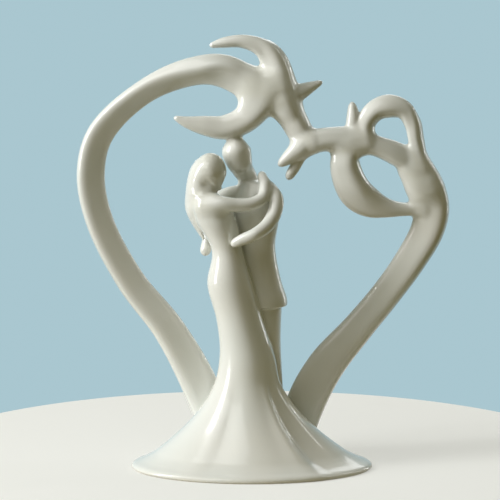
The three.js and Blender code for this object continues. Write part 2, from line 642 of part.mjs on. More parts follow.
// Right dove
function rightDoveBody() {
  const rows = [
    [beside(rightEnd, -1, 0, 1.2), 0.75, 0.75],
    [rightDove.clone().lerp(rightEnd, 0.69).add(at(0, 0, 4)), 0.94, 0.96],
    [rightDove.clone().lerp(rightEnd, 0.375).add(at(0, 0, 2.2)), 0.88, 1],
    [rightDove, 1.1, 1.05],
    [rightDove.clone().lerp(leftEnd, 0.5).add(at(0, 0, 0.75)), 0.98, 1],
    [leftEnd, 1.02, 0.96],
  ];
  return limb(RIGHT_BODY_HALF_WIDTH, RIGHT_BODY_HALF_DEPTH, rows, 14, WING_SQUARENESS);
}

function rightUpperWing() {
  const root = beside(rightDove, 5, 0, -1);
  const tip = beside(rightEnd, 2, 0, 1.5);
  const rows = arch(root, tip, at(0, 0, RIGHT_UPPER_WING_HEIGHT), [
    [0, 0, 0.88, 0.95],
    [0.01, 0.4, 0.9, 1],
    [0.18, 0.73, 1, 1],
    [0.42, 0.935, 1.1, 1],
    [0.68, 0.985, 0.93, 1],
    [0.84, 0.81, 0.8, 1],
    [0.905, 0.53, 0.72, 1],
    [1, 0, 0.74, 0.95],
  ]);
  return limb(RIGHT_UPPER_WING_HALF_WIDTH, RIGHT_UPPER_WING_HALF_DEPTH, rows, 19, WING_SQUARENESS);
}

function rightLowerWing() {
  const root = beside(rightDove, 0.5, 0, -1.5);
  const tip = beside(rightEnd, 3.5, 2.5, RIGHT_BODY_DROP - RIGHT_LOWER_WING_DROP);
  const bow = at(-0.68, 0, -0.73).multiplyScalar(RIGHT_LOWER_WING_BOW);
  const rows = arch(root, tip, bow, [
    [0, 0, 0.78, 1],
    [0.04, 0.41, 0.95, 1.05],
    [0.17, 0.72, 1, 1.05],
    [0.37, 1, 1.07, 1],
    [0.55, 0.91, 0.98, 0.95],
    [0.71, 0.63, 0.66, 0.86],
    [0.84, 0.38, 0.46, 0.76],
    [1, 0, 0.41, 0.72],
  ]);
  return limb(RIGHT_LOWER_WING_HALF_WIDTH, RIGHT_LOWER_WING_HALF_DEPTH, rows, 19, WING_SQUARENESS);
}

function rightDoveHead() {
  const root = beside(rightDove, 1.2, 0, 1);
  const tip = beside(rightDove, 0, 0, RIGHT_HEAD_RISE);
  const rows = arch(root, tip, at(0, 0, 0), [
    [0, 0, 1.05, 1.05],
    [0.3, 0, 1, 1.05],
    [0.67, 0, 0.76, 0.86],
    [1, 0, 0.44, 0.5],
  ]);
  return limb(RIGHT_HEAD_RADIUS, RIGHT_HEAD_RADIUS, rows, 6);
}

function rightDoveTail() {
  const tip = beside(leftEnd, -FORK_REACH, -1.5, -FORK_DROP);
  const rows = arch(leftEnd, tip, at(0, 0, 1), [
    [0, 0, 0.8, 0.75],
    [0.35, 0.4, 0.92, 0.84],
    [0.67, 0.3, 0.7, 0.7],
    [1, 0, 0.39, 0.45],
  ]);
  return limb(FORK_RADIUS, FORK_RADIUS, rows, 6);
}

function rightDoveFeather() {
  const root = beside(leftEnd, 0, 0.5, -1.5);
  const tip = beside(leftEnd, -FEATHER_REACH, 0, -FEATHER_DROP);
  const rows = arch(root, tip, at(-0.8, 0, 0), [
    [0, 0, 0.85, 1],
    [0.4, 1, 0.92, 1],
    [0.75, 0.4, 0.96, 1],
    [1, 0, 0.82, 0.9],
  ]);
  return limb(FEATHER_RADIUS, FEATHER_RADIUS, rows, 6);
}

// The castings in the order in which they are stuck on: each is cut to all those before it.
const CASTINGS = [
  ["bride_gown", gownShell],
  ["groom_jacket", groomJacket],
  ["groom_trousers", groomTrousers],
  ["bride_head", brideHeadEgg],
  ["bride_hair", brideHairLock],
  ["groom_head", groomHeadEgg],
  ["bride_near_arm", brideNearArm],
  ["groom_near_arm", groomNearArm],
  ["groom_far_arm", groomFarArm],
  ["bride_far_arm", brideFarArm],
  ["left_dove_body", leftDoveBody],
  ["left_heart_arm", leftHeartArm],
  ["right_heart_arm", rightHeartArm],
  ["right_dove_body", rightDoveBody],
  ["left_dove_upper_wing", leftUpperWing],
  ["left_dove_lower_wing", leftLowerWing],
  ["right_dove_upper_wing", rightUpperWing],
  ["right_dove_lower_wing", rightLowerWing],
  ["right_dove_tail", rightDoveTail],
  ["right_dove_feather", rightDoveFeather],
  ["left_dove_tail", leftDoveTail],
  ["left_dove_head", leftDoveHead],
  ["right_dove_head", rightDoveHead],
];

function meshOf(name, body) {
  const { numProp, vertProperties, triVerts } = body.getMesh();
  const geometry = new THREE.BufferGeometry();
  geometry.setAttribute("position", new THREE.BufferAttribute(vertProperties, numProp));
  geometry.setIndex(new THREE.BufferAttribute(triVerts, 1));
  geometry.computeVertexNormals();
  const mesh = new THREE.Mesh(geometry, new THREE.MeshStandardMaterial(PORCELAIN));
  mesh.name = name;
  return mesh;
}

const topper = new THREE.Group();
topper.name = "wedding_cake_topper";
const stuck = [];
for (const [name, shape] of CASTINGS) {
  const geometry = shape();
  let body = solid(geometry);
  for (const cutter of stuck) body = body.subtract(cutter);
  if (name === "bride_gown") body = body.subtract(solid(gownCavity())).subtract(solid(ventPlug()));
  stuck.push(solid(grown(geometry, LUTE_GAP)));
  topper.add(meshOf(name, body));
}

export default topper;
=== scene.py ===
"""Wedding cake topper in glazed porcelain.

A bride and groom embrace inside a heart, whose two arms rise behind the gown and turn into doves. Each
casting is a section carried along a path, or a stack of level ovals, and tells how far a point lies from
its skin. The glaze melts it into the castings that it is stuck to: these distances are joined by smooth
minima in a grid of cells, and each casting's share of the glaze is drawn where they come to nothing.
Shapes are worked out in millimetres, +Z up, and the viewer looks along +Y.
"""
import math

import bpy
import numpy as np
import openvdb
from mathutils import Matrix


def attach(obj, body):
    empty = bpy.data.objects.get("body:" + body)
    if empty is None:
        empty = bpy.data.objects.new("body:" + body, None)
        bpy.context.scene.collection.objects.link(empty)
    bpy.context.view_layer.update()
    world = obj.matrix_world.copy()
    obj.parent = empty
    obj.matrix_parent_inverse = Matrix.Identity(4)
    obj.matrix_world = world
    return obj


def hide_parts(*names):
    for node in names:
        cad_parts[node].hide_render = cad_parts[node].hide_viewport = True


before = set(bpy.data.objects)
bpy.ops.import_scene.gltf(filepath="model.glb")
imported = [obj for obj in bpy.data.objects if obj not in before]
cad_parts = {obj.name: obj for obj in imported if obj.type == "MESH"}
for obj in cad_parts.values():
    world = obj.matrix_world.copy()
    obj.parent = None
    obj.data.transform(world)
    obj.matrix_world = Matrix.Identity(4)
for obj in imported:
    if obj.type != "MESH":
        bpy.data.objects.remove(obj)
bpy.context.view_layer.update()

MM = 0.001

# Gown: the hem oval, its edge as heights and shares of the flare, the flare's power and the shares of the
# way down from the knee where it has rows, then the heights and half sizes of the figure above it
HEM_HALF_WIDTH = 45.4
HEM_FRONT = 34.0
HEM_BACK = 24.0
HEM_EDGE = ((0.0, 0.98), (0.9, 1.0), (2.1, 0.966), (3.2, 0.889))
EDGE_ROUNDING = 0.8
TOP_ROUNDING = 1.0
FLARE_POWER = 2.0
FLARE_WAYS = (0.87, 0.82, 0.76, 0.69, 0.61, 0.52, 0.4, 0.24)
KNEE_HEIGHT = 42.0
KNEE_HALF_WIDTH = 10.4
KNEE_HALF_DEPTH = 10.0
THIGH_HALF_WIDTH = 8.8
THIGH_HALF_DEPTH = 8.8
HIP_HEIGHT = 70.0
HIP_HALF_WIDTH = 8.5
HIP_HALF_DEPTH = 8.0
WAIST_HEIGHT = 82.5
WAIST_HALF_WIDTH = 5.8
WAIST_HALF_DEPTH = 6.0
BUST_RISE = 12.0
BUST_HALF_WIDTH = 7.5
BUST_HALF_DEPTH = 7.0
SHOULDER_RISE = 17.0
SHOULDER_HALF_WIDTH = 6.7
SHOULDER_HALF_DEPTH = 6.6
KNEE_X = -1.8
THIGH_X = -4.6
HIP_X = -8.3
WAIST_X = -9.3
BUST_X = -13.6
BRIDE_Y = -2.5

# Folds pressed into the skirt: bearing round the hem oval in degrees, share of the depth, which makes a
# ridge where it is negative, and how many degrees each spreads before and after its bearing
FOLD_DEPTH = 3.2
FOLDS = (
    (-112.0, 0.32, 7.0, 13.0),
    (-58.0, -0.3, 7.0, 6.0),
    (-45.0, 1.0, 8.0, 16.0),
    (55.0, 0.6, 13.0, 13.0),
    (122.0, 0.6, 13.0, 13.0),
)

# The gown is cast hollow and drained through a vent in its floor, which runs on a little into the hollow
GOWN_WALL = 3.0
CAVITY_TOP = 62.0
VENT_RADIUS = 5.0
VENT_FORWARD = 13.0
VENT_OVERRUN = 1.0

# Bride's head, hair and arms
BRIDE_HEAD_RISE = 12.3
BRIDE_HEAD_HALF_WIDTH = 5.2
BRIDE_HEAD_HALF_DEPTH = 5.4
BRIDE_HEAD_HALF_HEIGHT = 7.0
HAIR_HALF_WIDTH = 4.4
HAIR_HALF_DEPTH = 5.2
HAIR_END_RISE = 3.8
BRIDE_ARM_RADIUS = 3.0

# Groom
GROOM_Y = 6.0
CHEST_X = 2.5
CHEST_HEIGHT = 98.5
CHEST_HALF_WIDTH = 7.5
CHEST_HALF_DEPTH = 7.0
COLLAR_RISE = 9.0
JACKET_WAIST_HEIGHT = 82.0
JACKET_WAIST_X = 1.7
JACKET_WAIST_HALF_WIDTH = 7.1
JACKET_WAIST_HALF_DEPTH = 6.8
JACKET_HEM_HEIGHT = 60.0
JACKET_HEM_X = 4.0
JACKET_HEM_HALF_WIDTH = 9.4
JACKET_HEM_HALF_DEPTH = 9.0
JACKET_HEM_EDGE = 1.5
TROUSER_X = 4.0
TROUSER_HALF_WIDTH = 7.2
TROUSER_HALF_DEPTH = 7.6
GROOM_HEAD_X = -5.8
GROOM_HEAD_RISE = 20.2
GROOM_HEAD_HALF_WIDTH = 5.5
GROOM_HEAD_HALF_DEPTH = 5.6
GROOM_HEAD_HALF_HEIGHT = 6.9
GROOM_NECK_RADIUS = 4.1
GROOM_ARM_RADIUS = 2.9

# Heart arms
ARM_ROOT_HEIGHT = 6.5
ARM_ROOT_Y = 12.0
ARM_SWAY = 3.0
ARM_SQUARENESS = 3.2
LEFT_ROOT_X = -12.5
LEFT_ARM_HALF_WIDTH = 5.3
LEFT_ARM_HALF_DEPTH = 3.6
LEFT_LOBE_REACH = 57.0
RIGHT_ROOT_X = 16.5
RIGHT_ARM_HALF_WIDTH = 5.9
RIGHT_ARM_HALF_DEPTH = 4.0
RIGHT_LOBE_REACH = 30.0

# Doves
DOVE_Y = 5.0
WING_SQUARENESS = 2.7
LEFT_DOVE_X = 11.0
LEFT_DOVE_RISE = 22.3
LEFT_BODY_LENGTH = 15.0
LEFT_BODY_HALF_WIDTH = 6.2
LEFT_BODY_HALF_DEPTH = 5.6
LEFT_UPPER_WING_SPAN = 26.0
LEFT_UPPER_WING_RISE = 17.5
LEFT_UPPER_WING_BOW = 9.0
LEFT_UPPER_WING_HALF_WIDTH = 5.0
LEFT_UPPER_WING_HALF_DEPTH = 4.7
LEFT_LOWER_WING_SPAN = 39.5
LEFT_LOWER_WING_DROP = 9.5
LEFT_LOWER_WING_BOW = 10.6
LEFT_LOWER_WING_HALF_WIDTH = 6.2
LEFT_LOWER_WING_HALF_DEPTH = 5.0
LEFT_HEAD_REACH = 14.5
LEFT_HEAD_RISE = 3.5
LEFT_HEAD_RADIUS = 3.7
LEFT_TAIL_HALF_WIDTH = 5.1
LEFT_TAIL_HALF_DEPTH = 4.3
RIGHT_DOVE_X = 37.5
RIGHT_DOVE_DROP = 18.0
RIGHT_BODY_LEFT_REACH = 15.0
RIGHT_BODY_RIGHT_REACH = 24.0
RIGHT_BODY_DROP = 12.0
RIGHT_BODY_HALF_WIDTH = 4.4
RIGHT_BODY_HALF_DEPTH = 4.4
RIGHT_UPPER_WING_HEIGHT = 18.9
RIGHT_UPPER_WING_HALF_WIDTH = 3.8
RIGHT_UPPER_WING_HALF_DEPTH = 4.0
RIGHT_LOWER_WING_DROP = 26.5
RIGHT_LOWER_WING_BOW = 14.6
RIGHT_LOWER_WING_HALF_WIDTH = 5.6
RIGHT_LOWER_WING_HALF_DEPTH = 4.2
RIGHT_HEAD_RISE = 13.0
RIGHT_HEAD_RADIUS = 3.4
FORK_REACH = 11.5
FORK_DROP = 8.0
FORK_RADIUS = 4.4
FEATHER_REACH = 8.5
FEATHER_DROP = 13.0
FEATHER_RADIUS = 2.1

# How limbs end: a cap's length and how round it is, the length over which the end's taper is measured,
# and the share of its size that the taper leaves
CAP_SHARE = 0.9
CAP_ROUNDING = 1.4
TAPER_LENGTH = 0.5
TAPER_LEAST = 0.4

# How finely shapes are worked out: points in each stretch of a path, steps between a limb's sections and
# between a figure's levels, where a section's columns are split, sections to a bead, rounds that find the
# nearest section, the steepest side of a figure that its distances allow for, and levels of the hollow
PATH_POINTS = 80
SECTION_STEP = 0.25
LEVEL_STEP = 0.05
TABLE_SPLITS = (3, 6, 9, 12, 14)
BEAD_SECTIONS = 8
NEAREST_ROUNDS = 4
STEEPEST_SIDE = 3
HOLLOW_LEVELS = 40
TINY = 1e-6

# Glaze: the fillet of a plain crease, how far a casting's skin runs on under its neighbour's, how fast it
# sinks there and how steeply it ends, the room round a casting in which its distances are worked out, and
# the distance that stands for all beyond it
CREASE = 0.6
OVERLAP = 1.5
TUCK = 0.12
SEAM_SLOPE = 0.6
MARGIN = 2.5
FAR = 9.0

# Drawing the skins: the cells, cells to a block, how many blocks off the skin is near, points in a batch,
# and the rounds, longest step and least slope by which the skin's points settle
CELL = 0.36
GOWN_CELL = 0.54
BLOCK = 3
BLOCKS_NEAR = 1.4
BATCH = 60000
SETTLING_ROUNDS = 3
SETTLING_STEP = 0.4
SETTLING_SLOPE = 1e-3

# Glaze and biscuit: colours, the depths between which the glaze turns creamier and darker in the creases,
# for its thicker pool there and as painted shade, roughnesses, the coat, and the foot wiped bare below a
# height where the normal points down
GLAZE_COOL = (0.79, 0.815, 0.785)
GLAZE_WARM = (0.81, 0.815, 0.77)
# The creases' tone: partly thicker glaze, partly a painted shade that stands in for the shade in them
GLAZE_POOLED_SHADE = (0.775, 0.785, 0.725)
POOLED_SHADE_DEPTHS = (0.05, 0.9)
GLAZE_ROUGHNESS = (0.17, 0.23)
COAT_WEIGHT = 0.4
COAT_ROUGHNESS = 0.06
BISCUIT = (0.78, 0.75, 0.68)
BISCUIT_ROUGHNESS = 0.62
BARE_HEIGHT = 0.5
BARE_NORMAL = -0.6
BARE_EDGE = (0.3, 0.7)

# Noises in the glaze: scale and finer layers of each, the middle range that is spread out, the share of
# the fine ripple, and the strength and height in metres of the bump
TONE_CLOUDS = (28, 2)
GLOSS_CLOUDS = (90, 3)
SLOW_RIPPLE = (160, 1)
FINE_RIPPLE = (1400, 1)
NOISE_RANGE = (0.3, 0.7)
FINE_SHARE = 0.05
BUMP_STRENGTH = 0.25
BUMP_HEIGHT = 0.00004

# Studio in metres: the floor as it is seen and as it throws light back, the backdrop and the room
FLOOR_RADIUS = 0.14
FLOOR_POINTS = 128
FLOOR_PALE = (0.90, 0.91, 0.87)
FLOOR_BOUNCE = (0.42, 0.36, 0.205)
FLOOR_ROUGHNESS = 0.8
FLOOR_GLOW = 0.5
BACKDROP = (0.40, 0.57, 0.63)
ROOM = (0.10, 0.089, 0.032)

# Lamps, which look at one height from one distance: bearing to the right of the viewer and elevation in
# degrees, width and height of the soft box, and watts
LAMP_AIM = 0.08
LAMP_DISTANCE = 0.9
LAMPS = {
    "key": (-75, 20, (0.18, 0.8), 8.5),
    "second": (-46, 45, (0.7, 0.7), 2.5),
    "rim": (128, 8, (0.07, 0.6), 1.1),
    "edge": (105, 30, (0.07, 0.6), 0.8),
    "back": (165, 35, (0.4, 0.4), 1.0),
}

# Camera at the photograph's viewing angle: degrees above level, what it looks at and from how far in
# metres, and the lens in millimetres
CAMERA_PITCH = 8.4
CAMERA_AIM = (-0.00075, 0, 0.08206)
CAMERA_DISTANCE = 1.0
LENS = 192
SENSOR_WIDTH = 36


def at(x, y, z):
    return np.array([x, y, z], float)


def between(start, end, way):
    return start + (end - start) * way


def unit(vectors):
    return vectors / np.linalg.norm(vectors, axis=-1, keepdims=True)


def spline(knots, rows, places):
    """A smooth curve through rows of numbers, and its slopes: each stretch is the cubic whose slopes at
    its two knots are those of the parabola through the row there and its neighbours."""
    gaps = np.diff(knots)[:, None]
    chords = np.diff(rows, axis=0) / gaps
    inner = (chords[:-1] * gaps[1:] + chords[1:] * gaps[:-1]) / (gaps[:-1] + gaps[1:])
    slopes = np.vstack([chords[:1], inner, chords[-1:]])
    i = np.clip(np.searchsorted(knots, places, side="right") - 1, 0, len(knots) - 2)
    gap = gaps[i]
    way = ((places - knots[i]) / gap[:, 0])[:, None]
    rise = rows[i + 1] - rows[i]
    first = slopes[i] * gap
    last = slopes[i + 1] * gap
    cubic = first + last - 2 * rise
    square = 3 * rise - 2 * first - last
    values = ((cubic * way + square) * way + first) * way + rows[i]
    return values, ((3 * cubic * way + 2 * square) * way + first) / gap


class Limb:
    """A section carried along a smooth path. The path runs through the rows' points, and a second spline
    gives the half width, half depth and roll at each. The section is a superellipse across the path,
    |u|^n + |v|^n = 1. Over each end it shrinks to nothing: there the square of its share of the full size
    and the square of the way into the cap, as a share of the cap's length, come to 1."""

    def __init__(self, half_width, half_depth, rows, squareness=2.0, fillets=(0, 0), crease=CREASE):
        self.squareness = squareness
        self.fillets = (crease, *fillets)
        self.points = np.array([row[0] for row in rows])
        shares = np.array([list(row[1:]) + [0.0] * (4 - len(row)) for row in rows])
        self.sizes = shares * [half_width, half_depth, math.radians(1)]
        self.numbers = np.arange(len(rows), dtype=float)
        chords = np.linalg.norm(np.diff(self.points, axis=0), axis=1)
        self.knots = np.append(0.0, np.cumsum(np.sqrt(chords)))
        self.way_rows = np.linspace(0, self.numbers[-1], PATH_POINTS * (len(rows) - 1) + 1)
        path = self.path(self.way_rows)[0]
        steps = np.linalg.norm(np.diff(path, axis=0), axis=1)
        self.way = np.append(0.0, np.cumsum(steps))
        self.length = self.way[-1]
        ends = self.sizes[[0, -1], :2]
        self.caps = CAP_SHARE * ends.min(axis=1)
        near_ends = np.interp([TAPER_LENGTH, self.length - TAPER_LENGTH], self.way, self.way_rows)
        self.tapers = (ends - spline(self.numbers, self.sizes, near_ends)[0][:, :2]) / TAPER_LENGTH
        self.make_table()

    def path(self, numbers):
        return spline(self.knots, self.points, np.interp(numbers, self.numbers, self.knots))

    def sections(self, way):
        """Middle, direction, across, deep and half sizes at lengths along the path. Past its ends the path
        runs on straight, and the half sizes go on as they tapered up to there."""
        inside = np.clip(way, 0.0, self.length)
        number = np.interp(inside, self.way, self.way_rows)
        middle, slope = self.path(number)
        along = unit(slope)
        before = np.maximum(-way, 0.0)[:, None]
        after = np.maximum(way - self.length, 0.0)[:, None]
        middle = middle + (after - before) * along
        sizes = spline(self.numbers, self.sizes, number)[0]
        halves = sizes[:, :2] + before * self.tapers[0] + after * self.tapers[1]
        halves = np.maximum(halves, TAPER_LEAST * sizes[:, :2])
        flat = unit(np.cross([0.0, 1.0, 0.0], along))
        upright = np.cross(along, flat)
        roll = sizes[:, 2:]
        across = flat * np.cos(roll) + upright * np.sin(roll)
        return middle, along, across, np.cross(along, across), halves

    def make_table(self):
        """Sections at even steps, from which distances are read, and some of their middles as beads. The
        fillet is the crease's, and more at each end by the cube of the way there from the other."""
        first, last = -self.caps[0], self.length + self.caps[1]
        way = np.linspace(first, last, math.ceil((last - first) / SECTION_STEP) + 1)
        middle, along, across, deep, halves = self.sections(way)
        share = np.clip(way / self.length, 0.0, 1.0)[:, None]
        crease, root, tip = self.fillets
        fillet = crease + root * (1 - share) ** 3 + tip * share**3
        self.table = np.hstack([middle, along, across, deep, halves, fillet])
        self.table_way = way
        self.beads = np.append(np.arange(0, len(way) - 1, BEAD_SECTIONS), len(way) - 1)
        reach = halves.max() + fillet.max() + MARGIN
        self.low, self.high = middle.min(axis=0) - reach, middle.max(axis=0) + reach

    def read(self, way):
        """Middle, direction, across, deep, half sizes and fillet, between the table's rows."""
        step = self.table_way[1] - self.table_way[0]
        place = (way - self.table_way[0]) / step
        i = np.clip(place.astype(int), 0, len(self.table_way) - 2)
        part = (place - i)[:, None]
        row = self.table[i] * (1 - part) + self.table[i + 1] * part
        return np.split(row, TABLE_SPLITS, axis=1)

    def distance(self, points):
        """Distance from the limb's skin, measured from the path in the section nearest to each point: the
        radius there less the section's own radius on that bearing. Over an end, the way into the cap as
        a share of its length counts as a third axis of the section. Also the fillet there."""
        beads = self.table[self.beads, :3]
        spread = (beads**2).sum(axis=1) - 2 * points @ beads.T
        first, last = self.table_way[[0, -1]]
        way = self.table_way[self.beads[spread.argmin(axis=1)]]
        for _ in range(NEAREST_ROUNDS):
            middle, along = self.read(way)[:2]
            past = ((points - middle) * along).sum(axis=1)
            way = np.clip(way + past, first, last)
        middle, along, across, deep, halves, fillet = self.read(way)
        from_middle = points - middle
        way = way + (from_middle * along).sum(axis=1)
        wide = np.abs((from_middle * across).sum(axis=1)) + TINY
        thick = np.abs((from_middle * deep).sum(axis=1)) + TINY
        power = self.squareness
        share = ((wide / halves[:, 0]) ** power + (thick / halves[:, 1]) ** power) ** (1 / power)
        cap = CAP_ROUNDING * np.where(2 * way < self.length, *self.caps)
        into = np.maximum(cap - np.minimum(way - first, last - way), 0.0)
        radius = np.sqrt(wide**2 + thick**2 + into**2)
        return radius * (1 - 1 / np.hypot(share, into / cap)), fillet[:, 0]


class Figure:
    """Level ovals stacked up: a spline over height gives each level's middle and half sizes. Its lowest
    and highest edges are rounded by quarter circles, and folds press its skin in."""

    def __init__(self, rows, roundings, folds=None):
        self.rows = np.array(rows, float)
        self.roundings = roundings
        self.folds = folds
        self.floor, self.top = self.rows[0, 0], self.rows[-1, 0]
        levels = math.ceil((self.top - self.floor) / LEVEL_STEP) + 1
        self.heights = np.linspace(self.floor, self.top, levels)
        table = self.sections(self.heights)
        reach = table[:, 2:] + CREASE + MARGIN
        low = (table[:, :2] - reach).min(axis=0)
        high = (table[:, :2] + reach).max(axis=0)
        self.low = np.append(low, self.floor - CREASE - MARGIN)
        self.high = np.append(high, self.top + CREASE + MARGIN)
        slope = np.gradient(table[:, 2:].mean(axis=1), self.heights)
        lean = 1 / np.hypot(1, np.clip(slope, -STEEPEST_SIDE, STEEPEST_SIDE))
        self.table = np.column_stack([table, lean])

    def sections(self, heights):
        """Middle x, middle y, half width and half depth at each height."""
        values = spline(self.rows[:, 0], self.rows[:, 1:], heights)[0]
        for left, radius in zip((heights - self.floor, self.top - heights), self.roundings):
            short = np.maximum(radius - left, 0.0)
            values[:, 2:] -= (radius - np.sqrt(radius**2 - short**2))[:, None]
        return values

    def press(self, heights, bearings):
        return 0.0 if self.folds is None else self.folds(heights, bearings)

    def distance(self, points):
        """Distance from the level oval at each point's height: the radius less the oval's radius on that
        bearing, times the lean of the side, joined with the height past the floor or top. Also the
        fillet there."""
        height = np.clip(points[:, 2], self.floor, self.top)
        place = (height - self.floor) / (self.heights[1] - self.heights[0])
        i = np.minimum(place.astype(int), len(self.heights) - 2)
        part = (place - i)[:, None]
        x, y, half_width, half_depth, lean = (self.table[i] * (1 - part) + self.table[i + 1] * part).T
        across, deep = points[:, 0] - x, points[:, 1] - y
        share = np.hypot(across / half_width, deep / half_depth) + TINY
        bearing = np.arctan2(deep / half_depth, across / half_width)
        gap = np.hypot(across, deep) * (1 - 1 / share) + self.press(height, bearing)
        gap = gap * lean
        past = np.maximum(self.floor - points[:, 2], points[:, 2] - self.top)
        inside = np.maximum(gap, past)
        outside = np.hypot(np.maximum(gap, 0.0), np.maximum(past, 0.0))
        return np.where(inside < 0.0, inside, outside), np.full(len(points), CREASE)


def arch(root, tip, bow, rows):
    """Rows for a limb that bows out: each starts with the share of the way to the tip and of the bow."""
    return [(between(root, tip, way) + np.multiply(bow, share), *shares) for way, share, *shares in rows]


# Landmarks that more than one casting shares
waist = at(WAIST_X, BRIDE_Y, WAIST_HEIGHT)
bust = at(BUST_X, BRIDE_Y, WAIST_HEIGHT + BUST_RISE)
bride_shoulder = at(BUST_X - 1.4, BRIDE_Y, WAIST_HEIGHT + SHOULDER_RISE)
bride_head = bride_shoulder + (-0.4, 0.5, BRIDE_HEAD_RISE)
chest = at(CHEST_X, GROOM_Y, CHEST_HEIGHT)
groom_head = at(GROOM_HEAD_X, GROOM_Y - 1.5, CHEST_HEIGHT + GROOM_HEAD_RISE)
left_dove = at(LEFT_DOVE_X, DOVE_Y, groom_head[2] + LEFT_DOVE_RISE)
right_dove = at(RIGHT_DOVE_X, DOVE_Y, left_dove[2] - RIGHT_DOVE_DROP)
right_end = right_dove + (RIGHT_BODY_RIGHT_REACH, 1, -RIGHT_BODY_DROP)
left_end = right_dove + (-RIGHT_BODY_LEFT_REACH, -1, -0.5)


def press_folds(heights, bearings):
    """How far the skirt is pressed in: a bell of bearing about each fold, wider on one side than on the
    other, times a bell of height that is deepest at a quarter of the knee's height and gone at the hem
    and the knee."""
    rise = np.clip(heights / KNEE_HEIGHT, 0.0, 1.0)
    strength = FOLD_DEPTH * np.sin(math.pi * np.sqrt(rise)) ** 2
    press = 0.0
    for fold, share, before, after in FOLDS:
        turn = (np.degrees(bearings) - fold + 180) % 360 - 180
        press = press + share * np.exp(-((turn / np.where(turn < 0, before, after)) ** 2))
    return strength * press


def gown():
    """The hem's rounded edge, the flare that narrows to the knee as a power of the way down, and the
    figure."""
    hem_y = (HEM_BACK - HEM_FRONT) / 2
    hem_half_depth = (HEM_BACK + HEM_FRONT) / 2
    flare = [(KNEE_HEIGHT * (1 - way), way**FLARE_POWER) for way in FLARE_WAYS]
    rows = []
    for height, spread in (*HEM_EDGE, *flare):
        rows.append((
            height,
            between(KNEE_X, 0, spread),
            between(BRIDE_Y, hem_y, spread),
            between(KNEE_HALF_WIDTH, HEM_HALF_WIDTH, spread),
            between(KNEE_HALF_DEPTH, hem_half_depth, spread),
        ))
    thigh_height = (KNEE_HEIGHT + HIP_HEIGHT) / 2
    top = bride_shoulder + (-0.6, 0, 4)
    rows += [
        (KNEE_HEIGHT, KNEE_X, BRIDE_Y, KNEE_HALF_WIDTH, KNEE_HALF_DEPTH),
        (thigh_height, THIGH_X, BRIDE_Y, THIGH_HALF_WIDTH, THIGH_HALF_DEPTH),
        (HIP_HEIGHT, HIP_X, BRIDE_Y, HIP_HALF_WIDTH, HIP_HALF_DEPTH),
        (WAIST_HEIGHT, WAIST_X, BRIDE_Y, WAIST_HALF_WIDTH, WAIST_HALF_DEPTH),
        (bust[2], BUST_X, BRIDE_Y, BUST_HALF_WIDTH, BUST_HALF_DEPTH),
        (bride_shoulder[2], bride_shoulder[0], BRIDE_Y, SHOULDER_HALF_WIDTH, SHOULDER_HALF_DEPTH),
        (top[2], top[0], BRIDE_Y, SHOULDER_HALF_WIDTH / 2, SHOULDER_HALF_DEPTH / 2),
    ]
    return Figure(rows, (0.0, TOP_ROUNDING), press_folds)


def bride_head_egg():
    """An egg whose chin overhangs a slender neck that enters the bodice."""
    rise = BRIDE_HEAD_HALF_HEIGHT
    rows = [
        (bride_shoulder + (-2.4, 0.5, 0), 0.64, 0.76),
        (bride_head + (-2.2, 0, -1.14 * rise), 0.6, 0.8),
        (bride_head + (0.2, 0, -0.63 * rise), 0.72, 0.8),
        (bride_head + (0.45, 0, -0.17 * rise), 0.93, 0.97),
        (bride_head + (0.3, 0, 0.2 * rise), 0.88, 0.92),
    ]
    return Limb(BRIDE_HEAD_HALF_WIDTH, BRIDE_HEAD_HALF_DEPTH, rows, fillets=(1.5, 0))


def bride_hair_lock():
    """A cap of hair over the crown that runs down into a lock behind the shoulder, to the waist."""
    behind = at(bust[0] - BUST_HALF_WIDTH, BRIDE_Y + 2.5, bust[2])
    rows = [
        (bride_head + (-0.2, 0, 2), 0.97, 1),
        (bride_head + (-3.4, 0, 0), 0.95, 1.02, -12),
        (bride_head + (-6.1, 0, -5.9), 0.64, 0.88, -26),
        (behind + (-1.9, -1, 6.6), 0.36, 0.72, -26),
        (behind + (-2, -0.7, 2.9), 0.3, 0.63, -26),
        (behind + (-0.8, -0.4, -1.3), 0.2, 0.5, -24),
        (behind + (1.2, 0.2, -5.2), 0.16, 0.37, -20),
        (waist + (-3.1 - WAIST_HALF_WIDTH, 2.8, HAIR_END_RISE), 0.12, 0.26, -12),
    ]
    return Limb(HAIR_HALF_WIDTH, HAIR_HALF_DEPTH, rows, fillets=(4.5, 0), crease=1.4)


def bride_near_arm():
    """Over the groom's chest and up behind his neck."""
    front = at(CHEST_X, GROOM_Y - CHEST_HALF_DEPTH, bride_shoulder[2])
    nape = at(CHEST_X, GROOM_Y - CHEST_HALF_DEPTH, CHEST_HEIGHT + COLLAR_RISE)
    rows = [
        (bride_shoulder + (-2.3, -2.6, 0.8), 1.08, 1.08),
        (bride_shoulder + (3, -5.3, 1), 0.96, 0.97),
        (front + (-7.5, -6.5, 0.5), 0.87, 0.87),
        (front + (-2, -5.5, 1), 0.83, 0.83),
        (front + (1.5, -3.5, 3), 0.79, 0.8),
        (nape + (2.3, -0.5, -1), 0.74, 0.76),
        (nape + (1.2, 3.5, 2.5), 0.58, 0.62),
    ]
    return Limb(BRIDE_ARM_RADIUS, BRIDE_ARM_RADIUS, rows, fillets=(4, 0.5))


def bride_far_arm():
    """Round the groom's back, out of the viewer's sight."""
    back = at(CHEST_X, GROOM_Y + CHEST_HALF_DEPTH, bust[2])
    rows = [
        (bust + (1, 3, 1), 1.05, 1.05),
        (back + (-2.5 - CHEST_HALF_WIDTH, -3.5, -1), 0.92, 0.92),
        (back + (-4, 0.6, -2.5), 0.82, 0.82),
        (back + (2.5, 0.8, -3), 0.62, 0.62),
    ]
    return Limb(BRIDE_ARM_RADIUS, BRIDE_ARM_RADIUS, rows, fillets=(1.5, 0))


